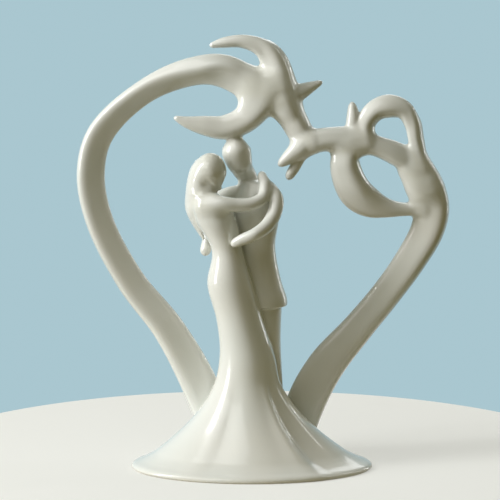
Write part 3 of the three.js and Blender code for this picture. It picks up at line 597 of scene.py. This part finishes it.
def groom_jacket():
    """A flared hem, a waist and sloping shoulders."""
    hem_width = JACKET_HEM_HALF_WIDTH
    hem_depth = JACKET_HEM_HALF_DEPTH
    hem_top = JACKET_HEM_HEIGHT + JACKET_HEM_EDGE
    collar = CHEST_HEIGHT + COLLAR_RISE
    slope = between(CHEST_HEIGHT, collar, 0.6)
    rows = [
        (JACKET_HEM_HEIGHT, JACKET_HEM_X, GROOM_Y, hem_width, hem_depth),
        (hem_top, JACKET_HEM_X, GROOM_Y, hem_width, hem_depth),
        (hem_top + 7.5, JACKET_HEM_X - 1, GROOM_Y, 0.87 * hem_width, 0.87 * hem_depth),
        (JACKET_WAIST_HEIGHT, JACKET_WAIST_X, GROOM_Y, JACKET_WAIST_HALF_WIDTH, JACKET_WAIST_HALF_DEPTH),
        (CHEST_HEIGHT, CHEST_X - 0.7, GROOM_Y, 1.1 * CHEST_HALF_WIDTH, CHEST_HALF_DEPTH),
        (slope, CHEST_X - 0.6, GROOM_Y, 0.84 * CHEST_HALF_WIDTH, 0.82 * CHEST_HALF_DEPTH),
        (collar, CHEST_X - 1.2, GROOM_Y, 0.5 * CHEST_HALF_WIDTH, 0.52 * CHEST_HALF_DEPTH),
    ]
    return Figure(rows, (EDGE_ROUNDING, TOP_ROUNDING))


def groom_trousers():
    """From inside the jacket down into the back of the skirt."""
    width = TROUSER_HALF_WIDTH
    depth = TROUSER_HALF_DEPTH
    rows = [
        (ARM_ROOT_HEIGHT, TROUSER_X + 1.5, GROOM_Y + 2, 1.1 * width, 1.1 * depth),
        (0.5 * JACKET_HEM_HEIGHT, TROUSER_X + 0.5, GROOM_Y + 1.5, width, depth),
        (0.78 * JACKET_HEM_HEIGHT, TROUSER_X, GROOM_Y + 1, 0.96 * width, depth),
        (JACKET_HEM_HEIGHT + 4, TROUSER_X, GROOM_Y, 1.04 * width, depth),
    ]
    return Figure(rows, (EDGE_ROUNDING, EDGE_ROUNDING))


def groom_head_egg():
    """An egg whose nape runs straight down into the collar."""
    neck_width = GROOM_NECK_RADIUS / GROOM_HEAD_HALF_WIDTH
    neck_depth = GROOM_NECK_RADIUS / GROOM_HEAD_HALF_DEPTH
    rise = GROOM_HEAD_HALF_HEIGHT
    rows = [
        (chest + (-2.6, 1.6, 4), 1.08 * neck_width, neck_depth),
        (chest + (-4.4, 2.6, 10.2), 0.92 * neck_width, 0.8 * neck_depth),
        (groom_head + (2.2, 1.8, -0.98 * rise), 0.74, 0.62),
        (groom_head + (1.3, 0.5, -0.66 * rise), 0.86, 0.86),
        (groom_head + (0.5, 0.1, -0.3 * rise), 0.96, 0.97),
        (groom_head + (-0.15, 0, 0.09 * rise), 0.98, 1),
        (groom_head + (-0.4, 0, 0.43 * rise), 0.8, 0.84),
    ]
    return Limb(GROOM_HEAD_HALF_WIDTH, GROOM_HEAD_HALF_DEPTH, rows, fillets=(2, 0))


def groom_near_arm():
    """Down from the shoulder, and forward to a hand on the bride's waist."""
    side = at(WAIST_X + WAIST_HALF_WIDTH, BRIDE_Y - WAIST_HALF_DEPTH, WAIST_HEIGHT)
    rows = [
        (chest + (3.5, -4.5, 6.5), 1.12, 1.12),
        (chest + (6.4, -8.5, 3), 1, 1),
        (chest + (5.7, -11.5, -2), 0.95, 0.95),
        (chest + (3, -14.5, -6), 0.88, 0.9),
        (side + (4.5, -2.5, 7), 0.82, 0.83),
        (side + (0, -2, 5), 0.74, 0.74),
        (side + (-3, -1.2, 3.5), 0.6, 0.6),
    ]
    return Limb(GROOM_ARM_RADIUS, GROOM_ARM_RADIUS, rows, fillets=(1.5, 0))


def groom_far_arm():
    """Behind the bride's shoulders, to a hand that shows at the back of her waist."""
    back = at(BUST_X, BRIDE_Y + BUST_HALF_DEPTH, bust[2])
    side = at(WAIST_X - WAIST_HALF_WIDTH, BRIDE_Y + WAIST_HALF_DEPTH, WAIST_HEIGHT)
    rows = [
        (chest + (-2.5, 2, 4), 1.2, 1.25),
        (back + (5.5, 4.5, 7), 1.17, 1.22),
        (back + (-1, 4.5, 4), 1.08, 1.08),
        (back + (-4.5, 3, -2.5), 0.92, 0.92),
        (side + (-1.4, 2.2, 5), 0.74, 0.74),
        (side + (-2.4, -0.5, -1.2), 0.74, 0.74),
    ]
    return Limb(GROOM_ARM_RADIUS, GROOM_ARM_RADIUS, rows, fillets=(1.5, 0))


def swayed(rows):
    """Moves an arm's middle back by a half wave, so that the heart leans away below the doves."""
    last = len(rows) - 1
    moved = []
    for i, (middle, *shares) in enumerate(rows):
        sway = ARM_SWAY * math.sin(math.pi * i / last)
        moved.append((middle + (0, sway, 0), *shares))
    return moved


def left_heart_arm():
    """From the back of the skirt, round the lobe, into the left dove."""
    root = at(LEFT_ROOT_X, ARM_ROOT_Y, ARM_ROOT_HEIGHT)
    tip = left_dove + (-5, 0, -1.5)
    rows = arch(root, tip, (-LEFT_LOBE_REACH, 0, 0), [
        (0, 0, 1.15, 1.15, 8),
        (0.15, 0.165, 1.3, 1.1, 12),
        (0.325, 0.44, 1.14, 0.95, 22),
        (0.47, 0.745, 1.02, 0.86, 22),
        (0.645, 1.005, 0.98, 0.8, 21),
        (0.78, 1.1, 1, 0.76, 20),
        (0.893, 1.065, 0.95, 0.74, 18),
        (1.015, 0.8, 0.86, 0.8, 25),
        (1.0695, 0.5, 1.12, 1.16, 54),
        (1.0686, 0.304, 1.2, 1.2, 36),
        (1, 0, 1.1, 1.15, 10),
    ])
    return Limb(LEFT_ARM_HALF_WIDTH, LEFT_ARM_HALF_DEPTH, swayed(rows), ARM_SQUARENESS, (0.6, 3))


def right_heart_arm():
    """From the back of the skirt, round the lobe, into the right dove's body."""
    root = at(RIGHT_ROOT_X, ARM_ROOT_Y, ARM_ROOT_HEIGHT)
    tip = right_end + (-2, 0, 2.5)
    rows = arch(root, tip, (RIGHT_LOBE_REACH, 0, 0), [
        (0, 0, 1.1, 1.05, -8),
        (0.13, -0.06, 1.26, 1, -12),
        (0.27, 0, 1.2, 0.9, -18),
        (0.41, 0.21, 1, 0.9, -22),
        (0.535, 0.39, 0.95, 0.95, -22),
        (0.655, 0.515, 0.99, 1, -22),
        (0.765, 0.565, 1.06, 1.05, -20),
        (0.85, 0.49, 1.12, 1.16, -14),
        (0.94, 0.235, 1.2, 1.25, -8),
        (1, 0, 0.95, 0.75, 0),
    ])
    return Limb(RIGHT_ARM_HALF_WIDTH, RIGHT_ARM_HALF_DEPTH, swayed(rows), ARM_SQUARENESS, (0.6, 3))


def left_dove_body():
    """Upright, from between the wings down to the tail."""
    half = LEFT_BODY_LENGTH / 2
    rows = [
        (left_dove + (-2, 0, half), 0.84, 0.86, 16),
        (left_dove, 1, 1, 26),
        (left_dove + (2.5, 0, -half), 0.87, 0.9, 24),
    ]
    return Limb(LEFT_BODY_HALF_WIDTH, LEFT_BODY_HALF_DEPTH, rows, WING_SQUARENESS, crease=3)


def left_dove_upper_wing():
    """Up to the left, bowed upwards, to a thin tip."""
    root = left_dove + (-0.5, 0, 1.5)
    tip = left_dove + (-LEFT_UPPER_WING_SPAN, -1, LEFT_UPPER_WING_RISE)
    bow = np.multiply(LEFT_UPPER_WING_BOW, (0.524, 0, 0.852))
    rows = arch(root, tip, bow, [
        (0, 0, 1, 1, -28),
        (0.19, 0.72, 0.97, 0.94, -32),
        (0.37, 0.99, 0.83, 0.8, -20),
        (0.53, 0.99, 0.63, 0.68, 6),
        (0.72, 0.78, 0.47, 0.56, 20),
        (0.89, 0.36, 0.37, 0.44, 22),
        (1, 0, 0.2, 0.28, 22),
    ])
    return Limb(LEFT_UPPER_WING_HALF_WIDTH, LEFT_UPPER_WING_HALF_DEPTH, rows, WING_SQUARENESS, (2.5, 0), 1)


def left_dove_lower_wing():
    """Down to the left, bowed downwards on to the groom's crown, to a thin tip."""
    root = left_dove + (-6.5, 0, 3)
    tip = left_dove + (-LEFT_LOWER_WING_SPAN, -3, -LEFT_LOWER_WING_DROP)
    rows = arch(root, tip, (0, 0, -LEFT_LOWER_WING_BOW), [
        (0, 0, 1, 1, 12),
        (0.085, 0.575, 1.07, 1, 15),
        (0.215, 0.98, 0.83, 0.92, 18),
        (0.44, 1, 0.73, 0.82, 18),
        (0.69, 0.63, 0.57, 0.66, 18),
        (0.885, 0.27, 0.34, 0.45, 15),
        (1, 0, 0.15, 0.28, 12),
    ])
    return Limb(LEFT_LOWER_WING_HALF_WIDTH, LEFT_LOWER_WING_HALF_DEPTH, rows, WING_SQUARENESS, (5.5, 0), 0.8)


def left_dove_head():
    """A short spike to the right."""
    root = left_dove + (1.5, 0, -2.5)
    tip = left_dove + (LEFT_HEAD_REACH, 0, LEFT_HEAD_RISE)
    rows = arch(root, tip, (0, 0, 0), [
        (0, 0, 1, 1.05),
        (0.42, 0, 0.86, 0.94),
        (0.73, 0, 0.57, 0.68),
        (1, 0, 0.28, 0.35),
    ])
    return Limb(LEFT_HEAD_RADIUS, LEFT_HEAD_RADIUS, rows, fillets=(3.5, 0))


def left_dove_tail():
    """A bar down to the left end of the right dove's body."""
    root = left_dove + (0.5, 0, -3)
    tip = left_end + (-2, 1.2, -1)
    rows = arch(root, tip, (0, 0, 0), [
        (0, 0, 1, 1.05, 24),
        (0.35, 0, 1, 1.02, 28),
        (0.7, 0, 0.94, 0.94, 24),
        (1, 0, 0.82, 0.82, 14),
    ])
    return Limb(LEFT_TAIL_HALF_WIDTH, LEFT_TAIL_HALF_DEPTH, rows, WING_SQUARENESS, (2, 2), 1.5)


def right_dove_body():
    """A long bar from inside the right heart arm to the forked tail."""
    rows = [
        (right_end + (4.2, 1.2, -8), 0.9, 0.8),
        (right_end + (-0.5, 0.6, 2.2), 1, 0.95, 10),
        (between(right_dove, right_end, 0.69) + (0, 0, 3), 1, 0.96, 14),
        (between(right_dove, right_end, 0.375) + (0, 0, 2.2), 0.88, 1, 14),
        (right_dove, 1.1, 1.05, 12),
        (between(right_dove, left_end, 0.5) + (0, 0, 0.75), 0.98, 1, 18),
        (left_end, 1.02, 0.96, 16),
    ]
    return Limb(RIGHT_BODY_HALF_WIDTH, RIGHT_BODY_HALF_DEPTH, rows, WING_SQUARENESS, (3, 1), 2)


def right_dove_upper_wing():
    """A loop over the body and back to the heart arm."""
    root = right_dove + (5, 0, -1)
    tip = right_end + (2, 0, 1.5)
    rows = arch(root, tip, (0, 0, RIGHT_UPPER_WING_HEIGHT), [
        (0, 0, 0.88, 0.95, -20),
        (0.01, 0.4, 0.9, 0.97, -28),
        (0.18, 0.73, 1, 0.97, -30),
        (0.42, 0.935, 1.1, 0.97, -28),
        (0.68, 0.985, 0.93, 0.97, -12),
        (0.84, 0.81, 0.8, 0.97, 14),
        (0.905, 0.53, 0.72, 0.97, 20),
        (1, 0, 0.74, 0.78, 12),
    ])
    return Limb(RIGHT_UPPER_WING_HALF_WIDTH, RIGHT_UPPER_WING_HALF_DEPTH, rows, WING_SQUARENESS, (1, 2), 1.5)


def right_dove_lower_wing():
    """A crescent under the body and back to the heart arm."""
    root = right_dove + (0.5, 0, -1.5)
    tip = right_end + (3.5, 2.5, RIGHT_BODY_DROP - RIGHT_LOWER_WING_DROP)
    bow = np.multiply(RIGHT_LOWER_WING_BOW, (-0.68, 0, -0.73))
    rows = arch(root, tip, bow, [
        (0, 0, 0.78, 0.78, 12),
        (0.04, 0.41, 0.93, 1.12, 18),
        (0.17, 0.69, 1.05, 1.1, 24),
        (0.37, 0.88, 1.15, 1, 21),
        (0.55, 0.82, 1, 0.95, 10),
        (0.71, 0.63, 0.66, 0.86),
        (0.84, 0.38, 0.46, 0.76),
        (1, 0, 0.41, 0.72),
    ])
    width = RIGHT_LOWER_WING_HALF_WIDTH
    depth = RIGHT_LOWER_WING_HALF_DEPTH
    return Limb(width, depth, rows, WING_SQUARENESS, (2.5, 1.5), 1.5)


def right_dove_head():
    """An upright spike."""
    root = right_dove + (1.2, 0, 1)
    tip = right_dove + (0, 0, RIGHT_HEAD_RISE)
    rows = arch(root, tip, (0, 0, 0), [
        (0, 0, 1.05, 0.75),
        (0.3, 0, 1, 0.85),
        (0.67, 0, 0.76, 0.82),
        (1, 0, 0.46, 0.5),
    ])
    return Limb(RIGHT_HEAD_RADIUS, RIGHT_HEAD_RADIUS, rows, fillets=(3, 0))


def right_dove_tail():
    """The thicker prong of the fork, down to the left."""
    tip = left_end + (-FORK_REACH, -1.5, -FORK_DROP)
    rows = arch(left_end, tip, (0, 0, 1), [
        (0, 0, 0.8, 0.75),
        (0.35, 0.4, 0.92, 0.84),
        (0.67, 0.3, 0.7, 0.7),
        (1, 0, 0.39, 0.45),
    ])
    return Limb(FORK_RADIUS, FORK_RADIUS, rows, fillets=(1.2, 0), crease=1)


def right_dove_feather():
    """The thinner prong of the fork, under the other and steeper."""
    root = left_end + (0, 0.5, -1.5)
    tip = left_end + (-FEATHER_REACH, 0, -FEATHER_DROP)
    rows = arch(root, tip, (-0.8, 0, 0), [
        (0, 0, 0.85, 1),
        (0.4, 1, 0.92, 1),
        (0.75, 0.4, 0.96, 1),
        (1, 0, 0.82, 0.9),
    ])
    return Limb(FEATHER_RADIUS, FEATHER_RADIUS, rows, fillets=(1.2, 0))


# The castings in the order in which they are stuck on
CASTINGS = {
    "bride_gown": gown(),
    "groom_jacket": groom_jacket(),
    "groom_trousers": groom_trousers(),
    "bride_head": bride_head_egg(),
    "bride_hair": bride_hair_lock(),
    "groom_head": groom_head_egg(),
    "bride_near_arm": bride_near_arm(),
    "groom_near_arm": groom_near_arm(),
    "groom_far_arm": groom_far_arm(),
    "bride_far_arm": bride_far_arm(),
    "left_heart_arm": left_heart_arm(),
    "right_heart_arm": right_heart_arm(),
    "left_dove_body": left_dove_body(),
    "right_dove_body": right_dove_body(),
    "left_dove_upper_wing": left_dove_upper_wing(),
    "left_dove_lower_wing": left_dove_lower_wing(),
    "right_dove_upper_wing": right_dove_upper_wing(),
    "right_dove_lower_wing": right_dove_lower_wing(),
    "right_dove_tail": right_dove_tail(),
    "right_dove_feather": right_dove_feather(),
    "left_dove_tail": left_dove_tail(),
    "left_dove_head": left_dove_head(),
    "right_dove_head": right_dove_head(),
}


def melt(first, second, radius):
    """Smooth minimum of two distances: less than the lesser by (radius - difference)^2 / (4 radius)."""
    reach = np.maximum(radius - np.abs(first - second), 0.0)
    return np.minimum(first, second) - reach**2 / (4 * radius)


def gown_hollow():
    """The drained inside of the gown: each level follows the gown's a wall higher up, and lies a wall and
    half a fold's depth further in."""
    heights = np.linspace(GOWN_WALL, CAVITY_TOP, HOLLOW_LEVELS)
    values = CASTINGS["bride_gown"].sections(heights + GOWN_WALL)
    values[:, 2:] -= GOWN_WALL + FOLD_DEPTH / 2
    return Figure(np.column_stack([heights, values]), (0.0, 0.0))


def hollow_distance(points, hollow):
    """Distance from the gown's hollow, joined by the vent: a cylinder down through the floor."""
    vent = np.hypot(points[:, 0], points[:, 1] + VENT_FORWARD) - VENT_RADIUS
    vent = np.maximum(vent, points[:, 2] - GOWN_WALL - VENT_OVERRUN)
    return np.minimum(hollow.distance(points)[0], vent)


def glaze_field(points, own, hollow):
    """At each point: the distance from the skin of one casting's share of the glaze, and how deep the
    glaze lies over the nearest casting. The castings' distances, joined by smooth minima, give the glaze.
    Its share is where this casting is the nearest, and runs on under the next one's skin, ever deeper."""
    level = np.full(len(points), FAR)
    mine = level.copy()
    other = level.copy()
    for name, casting in CASTINGS.items():
        near = ((points > casting.low) & (points < casting.high)).all(axis=1).nonzero()[0]
        if not len(near):
            continue
        gap, fillet = casting.distance(points[near])
        level[near] = melt(level[near], gap, fillet)
        nearest = mine if name == own else other
        nearest[near] = np.minimum(nearest[near], gap)
    lead = mine - other
    share = np.maximum(level + TUCK * np.maximum(lead, 0.0) ** 2, SEAM_SLOPE * (lead - OVERLAP))
    if own == "bride_gown":
        share = np.maximum(share, -hollow_distance(points, hollow))
    return np.column_stack([share, np.clip(np.minimum(mine, other), 0.0, 1.0)])


def in_batches(points, own, hollow):
    parts = np.array_split(points, math.ceil(len(points) / BATCH))
    return np.vstack([glaze_field(part, own, hollow) for part in parts])


def sample(values, places):
    """Values of a block of cells at places between them, linear along each axis."""
    base = np.clip(places.astype(int), 0, np.array(values.shape) - 2)
    part = places - base
    total = 0.0
    for corner in np.ndindex(2, 2, 2):
        weight = np.where(corner, part, 1 - part).prod(axis=1)
        total = total + weight * values[tuple((base + corner).T)]
    return total


def slopes(values, places):
    """How a block's values rise along each axis, over one cell either way."""
    rises = [sample(values, places + way) - sample(values, places - way) for way in np.eye(3)]
    return np.stack(rises, axis=-1) / 2


def largest_skin(places, quads):
    """Leaves out the pockets that a skin closes off: labels spread over the quads until they settle."""
    label = np.arange(len(places))
    settled = False
    while not settled:
        before = label.copy()
        np.minimum.at(label, quads, label[quads].min(axis=1)[:, None])
        label = label[label]
        settled = (label == before).all()
    kept = label == np.bincount(label).argmax()
    number = np.cumsum(kept) - 1
    return places[kept], number[quads[kept[quads[:, 0]]]]


def glazed_skin(name, cell, hollow):
    """The skin of one casting's share of the glaze: its points, quads, normals and depth of glaze. The
    field is worked out in the middles of blocks of cells, then in each cell of the blocks near the skin.
    The skin's points then settle where it comes to nothing, by steps down the field's slope."""
    casting = CASTINGS[name]
    low = (np.floor(casting.low / cell) + 0.5) * cell
    counts = np.ceil((casting.high - low) / (BLOCK * cell)).astype(int)
    blocks = np.indices(counts).reshape(3, -1).T * BLOCK
    rough = in_batches(low + (blocks + (BLOCK - 1) / 2) * cell, name, hollow)
    share, depth = (
        column.reshape(counts).repeat(BLOCK, 0).repeat(BLOCK, 1).repeat(BLOCK, 2) for column in rough.T
    )
    near = np.abs(rough[:, 0]) < BLOCKS_NEAR * BLOCK * cell
    offsets = np.indices((BLOCK, BLOCK, BLOCK)).reshape(3, -1).T
    spots = (blocks[near][:, None] + offsets).reshape(-1, 3)
    fine = in_batches(low + spots * cell, name, hollow)
    share[tuple(spots.T)], depth[tuple(spots.T)] = fine.T
    volume = openvdb.FloatGrid(FAR)
    volume.copyFromArray(share.astype(np.float32))
    places, quads = volume.convertToQuads(0.0)
    places, quads = largest_skin(places.astype(float), quads.astype(int))
    for _ in range(SETTLING_ROUNDS):
        rise = slopes(share, places)
        steepness = np.maximum((rise**2).sum(axis=1, keepdims=True), SETTLING_SLOPE)
        step = sample(share, places)[:, None] * rise / steepness
        places = places - np.clip(step, -SETTLING_STEP, SETTLING_STEP)
    return low + places * cell, quads, unit(slopes(share, places)), sample(depth, places)


def add_object(name, data):
    thing = bpy.data.objects.new(name, data)
    bpy.context.scene.collection.objects.link(thing)
    return thing


def add_piece(name, skin, material):
    """A mesh in metres with the field's normals. How deep the glaze lies and where the foot is wiped bare
    are attributes of its points."""
    points, quads, normals, depth = skin
    mesh = bpy.data.meshes.new(name)
    mesh.from_pydata((points * MM).tolist(), [], quads.tolist())
    bare = (normals[:, 2] < BARE_NORMAL) & (points[:, 2] < BARE_HEIGHT)
    for attribute, values in (("glaze_depth", depth), ("bare", bare)):
        layer = mesh.attributes.new(attribute, "FLOAT", "POINT")
        layer.data.foreach_set("value", values.astype(np.float32))
    mesh.shade_smooth()
    mesh.normals_split_custom_set_from_vertices(normals.tolist())
    mesh.materials.append(material)
    return add_object(name, mesh)


def build_castings(material):
    hollow = gown_hollow()
    for name in CASTINGS:
        cell = GOWN_CELL if name == "bride_gown" else CELL
        piece = add_piece(name + "_glazed", glazed_skin(name, cell, hollow), material)
        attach(piece, "root")
        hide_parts(name)


def new_material(name):
    material = bpy.data.materials.new(name)
    material.use_nodes = True
    nodes = material.node_tree.nodes
    return material, nodes, material.node_tree.links, nodes["Principled BSDF"]


def new_group(name, inputs, outputs):
    """A node group with float, colour or vector sockets, and its ends."""
    group = bpy.data.node_groups.new(name, "ShaderNodeTree")
    for way, sockets in (("INPUT", inputs), ("OUTPUT", outputs)):
        for socket, kind in sockets:
            group.interface.new_socket(name=socket, in_out=way, socket_type="NodeSocket" + kind)
    start = group.nodes.new("NodeGroupInput")
    end = group.nodes.new("NodeGroupOutput")
    return group, group.nodes, group.links, start, end


def ranged(nodes, links, value, before=(0.0, 1.0), after=(0.0, 1.0)):
    """A value taken evenly from one range to another, and held at its ends."""
    ramp = nodes.new("ShaderNodeMapRange")
    for way, (low, high) in (("From", before), ("To", after)):
        ramp.inputs[way + " Min"].default_value = low
        ramp.inputs[way + " Max"].default_value = high
    links.new(value, ramp.inputs["Value"])
    return ramp.outputs["Result"]


def masked(nodes, links, name, ends):
    """How far an attribute of the points has gone from one value to another, from 0 to 1."""
    reader = nodes.new("ShaderNodeAttribute")
    reader.attribute_name = name
    return ranged(nodes, links, reader.outputs["Fac"], ends)


def either(nodes, links, first, second):
    """The larger of two values."""
    larger = nodes.new("ShaderNodeMath")
    larger.operation = "MAXIMUM"
    links.new(first, larger.inputs[0])
    links.new(second, larger.inputs[1])
    return larger.outputs[0]


def noise(nodes, links, place, scale, detail):
    """Noise over a place, spread out to run from about 0 to 1."""
    texture = nodes.new("ShaderNodeTexNoise")
    texture.inputs["Scale"].default_value = scale
    texture.inputs["Detail"].default_value = detail
    links.new(place, texture.inputs["Vector"])
    return ranged(nodes, links, texture.outputs["Fac"], NOISE_RANGE)


def blend(nodes, links, share, first, second):
    """A colour that goes from the first to the second; each is a socket or a colour. The mix node's
    sockets for colours are its inputs 6 and 7 and its output 2."""
    mix = nodes.new("ShaderNodeMix")
    mix.data_type = "RGBA"
    links.new(share, mix.inputs["Factor"])
    for socket, colour in ((mix.inputs[6], first), (mix.inputs[7], second)):
        if isinstance(colour, tuple):
            socket.default_value = (*colour, 1)
        else:
            links.new(colour, socket)
    return mix.outputs[2]


def kiln_clouds():
    """Faint clouds of the firing: a broad mask for the tone and a finer one for the gloss."""
    group, nodes, links, start, end = new_group(
        "kiln_clouds", [("Place", "Vector")], [("Tone", "Float"), ("Gloss", "Float")]
    )
    links.new(noise(nodes, links, start.outputs["Place"], *TONE_CLOUDS), end.inputs["Tone"])
    links.new(noise(nodes, links, start.outputs["Place"], *GLOSS_CLOUDS), end.inputs["Gloss"])
    return group


def glaze_ripple():
    """The slow ripple of a poured glaze with a trace of fine grain: a height for bumps."""
    group, nodes, links, start, end = new_group("glaze_ripple", [("Place", "Vector")], [("Height", "Float")])
    slow = noise(nodes, links, start.outputs["Place"], *SLOW_RIPPLE)
    fine = noise(nodes, links, start.outputs["Place"], *FINE_RIPPLE)
    total = nodes.new("ShaderNodeMath")
    total.operation = "MULTIPLY_ADD"
    links.new(fine, total.inputs[0])
    total.inputs[1].default_value = FINE_SHARE
    links.new(slow, total.inputs[2])
    links.new(total.outputs[0], end.inputs["Height"])
    return group


def porcelain():
    """Warm white glaze: clouded by the firing, creamier and darker in the creases, where it pools thicker
    and where a painted shade stands in for their shade, rippled, and wiped off the foot, where the dull
    biscuit shows."""
    material, nodes, links, shader = new_material("warm_white_glaze")
    place = nodes.new("ShaderNodeTexCoord").outputs["Object"]
    clouds = nodes.new("ShaderNodeGroup")
    clouds.node_tree = kiln_clouds()
    ripple = nodes.new("ShaderNodeGroup")
    ripple.node_tree = glaze_ripple()
    for group in (clouds, ripple):
        links.new(place, group.inputs["Place"])
    # Painted shade in the creases: darker, creamier tone where the glaze lies deep, partly for its thicker
    # pool
    pooled_shade = masked(nodes, links, "glaze_depth", POOLED_SHADE_DEPTHS)
    bare = masked(nodes, links, "bare", BARE_EDGE)
    tone = blend(nodes, links, clouds.outputs["Tone"], GLAZE_COOL, GLAZE_WARM)
    tone = blend(nodes, links, pooled_shade, tone, GLAZE_POOLED_SHADE)
    tone = blend(nodes, links, bare, tone, BISCUIT)
    links.new(tone, shader.inputs["Base Color"])
    gloss = ranged(nodes, links, clouds.outputs["Gloss"], after=GLAZE_ROUGHNESS)
    dull = ranged(nodes, links, bare, after=(0.0, BISCUIT_ROUGHNESS))
    links.new(either(nodes, links, gloss, dull), shader.inputs["Roughness"])
    coat = ranged(nodes, links, bare, after=(COAT_WEIGHT, 0.0))
    links.new(coat, shader.inputs["Coat Weight"])
    shader.inputs["Coat Roughness"].default_value = COAT_ROUGHNESS
    bump = nodes.new("ShaderNodeBump")
    bump.inputs["Strength"].default_value = BUMP_STRENGTH
    bump.inputs["Distance"].default_value = BUMP_HEIGHT
    links.new(ripple.outputs["Height"], bump.inputs["Height"])
    links.new(bump.outputs["Normal"], shader.inputs["Normal"])
    return material


def build_floor():
    """A plain round floor. To the camera and to the gloss it is part glow, which keeps it pale and lights
    nothing; the light that it throws back on the topper is dimmer and warmer."""
    material, nodes, links, shader = new_material("pale_floor")
    path = nodes.new("ShaderNodeLightPath")
    seen = either(nodes, links, path.outputs["Is Camera Ray"], path.outputs["Is Glossy Ray"])
    links.new(blend(nodes, links, seen, FLOOR_BOUNCE, FLOOR_PALE), shader.inputs["Base Color"])
    shader.inputs["Roughness"].default_value = FLOOR_ROUGHNESS
    glow = nodes.new("ShaderNodeEmission")
    glow.inputs["Color"].default_value = (*FLOOR_PALE, 1)
    mix = nodes.new("ShaderNodeMixShader")
    links.new(ranged(nodes, links, seen, after=(0.0, FLOOR_GLOW)), mix.inputs["Fac"])
    links.new(shader.outputs["BSDF"], mix.inputs[1])
    links.new(glow.outputs["Emission"], mix.inputs[2])
    links.new(mix.outputs["Shader"], nodes["Material Output"].inputs["Surface"])
    turn = np.linspace(0, 2 * math.pi, FLOOR_POINTS, endpoint=False)
    rim = np.column_stack([np.cos(turn), np.sin(turn), np.zeros(len(turn))]) * FLOOR_RADIUS
    mesh = bpy.data.meshes.new("floor")
    mesh.from_pydata(rim.tolist(), [], [list(range(len(rim)))])
    mesh.materials.append(material)
    floor = add_object("floor", mesh)


def build_world():
    """A pale backdrop for the camera, and for the gloss on the side away from the viewer; a dim warm room
    for all other light."""
    world = bpy.data.worlds.new("studio")
    world.use_nodes = True
    bpy.context.scene.world = world
    nodes, links = world.node_tree.nodes, world.node_tree.links
    path = nodes.new("ShaderNodeLightPath")
    split = nodes.new("ShaderNodeSeparateXYZ")
    links.new(nodes.new("ShaderNodeTexCoord").outputs["Generated"], split.inputs["Vector"])
    away = nodes.new("ShaderNodeMath")
    away.operation = "MULTIPLY"
    away.use_clamp = True
    links.new(split.outputs["Y"], away.inputs[0])
    links.new(path.outputs["Is Glossy Ray"], away.inputs[1])
    seen = either(nodes, links, path.outputs["Is Camera Ray"], away.outputs[0])
    links.new(blend(nodes, links, seen, ROOM, BACKDROP), nodes["Background"].inputs["Color"])


def lamp(name, bearing, elevation, size, power):
    """A soft box that looks at the middle of the topper."""
    turn, rise = math.radians(bearing), math.radians(elevation)
    way = at(math.sin(turn) * math.cos(rise), -math.cos(turn) * math.cos(rise), math.sin(rise))
    light = bpy.data.lights.new(name, "AREA")
    light.shape = "RECTANGLE"
    light.size, light.size_y = size
    light.energy = power
    box = add_object(name, light)
    box.location = at(0, 0, LAMP_AIM) + LAMP_DISTANCE * way
    box.rotation_euler = (math.pi / 2 - rise, 0, turn)


def build_stage():
    build_floor()
    build_world()
    for name, values in LAMPS.items():
        lamp(name, *values)


def build_camera():
    pitch = math.radians(CAMERA_PITCH)
    camera = bpy.data.cameras.new("camera")
    camera.lens = LENS
    camera.sensor_width = SENSOR_WIDTH
    holder = add_object("camera", camera)
    holder.location = CAMERA_AIM + CAMERA_DISTANCE * at(0, -math.cos(pitch), math.sin(pitch))
    holder.rotation_euler = (math.pi / 2 - pitch, 0, 0)
    bpy.context.scene.camera = holder


build_castings(porcelain())
build_stage()
build_camera()
bpy.context.scene.view_settings.view_transform = "Standard"
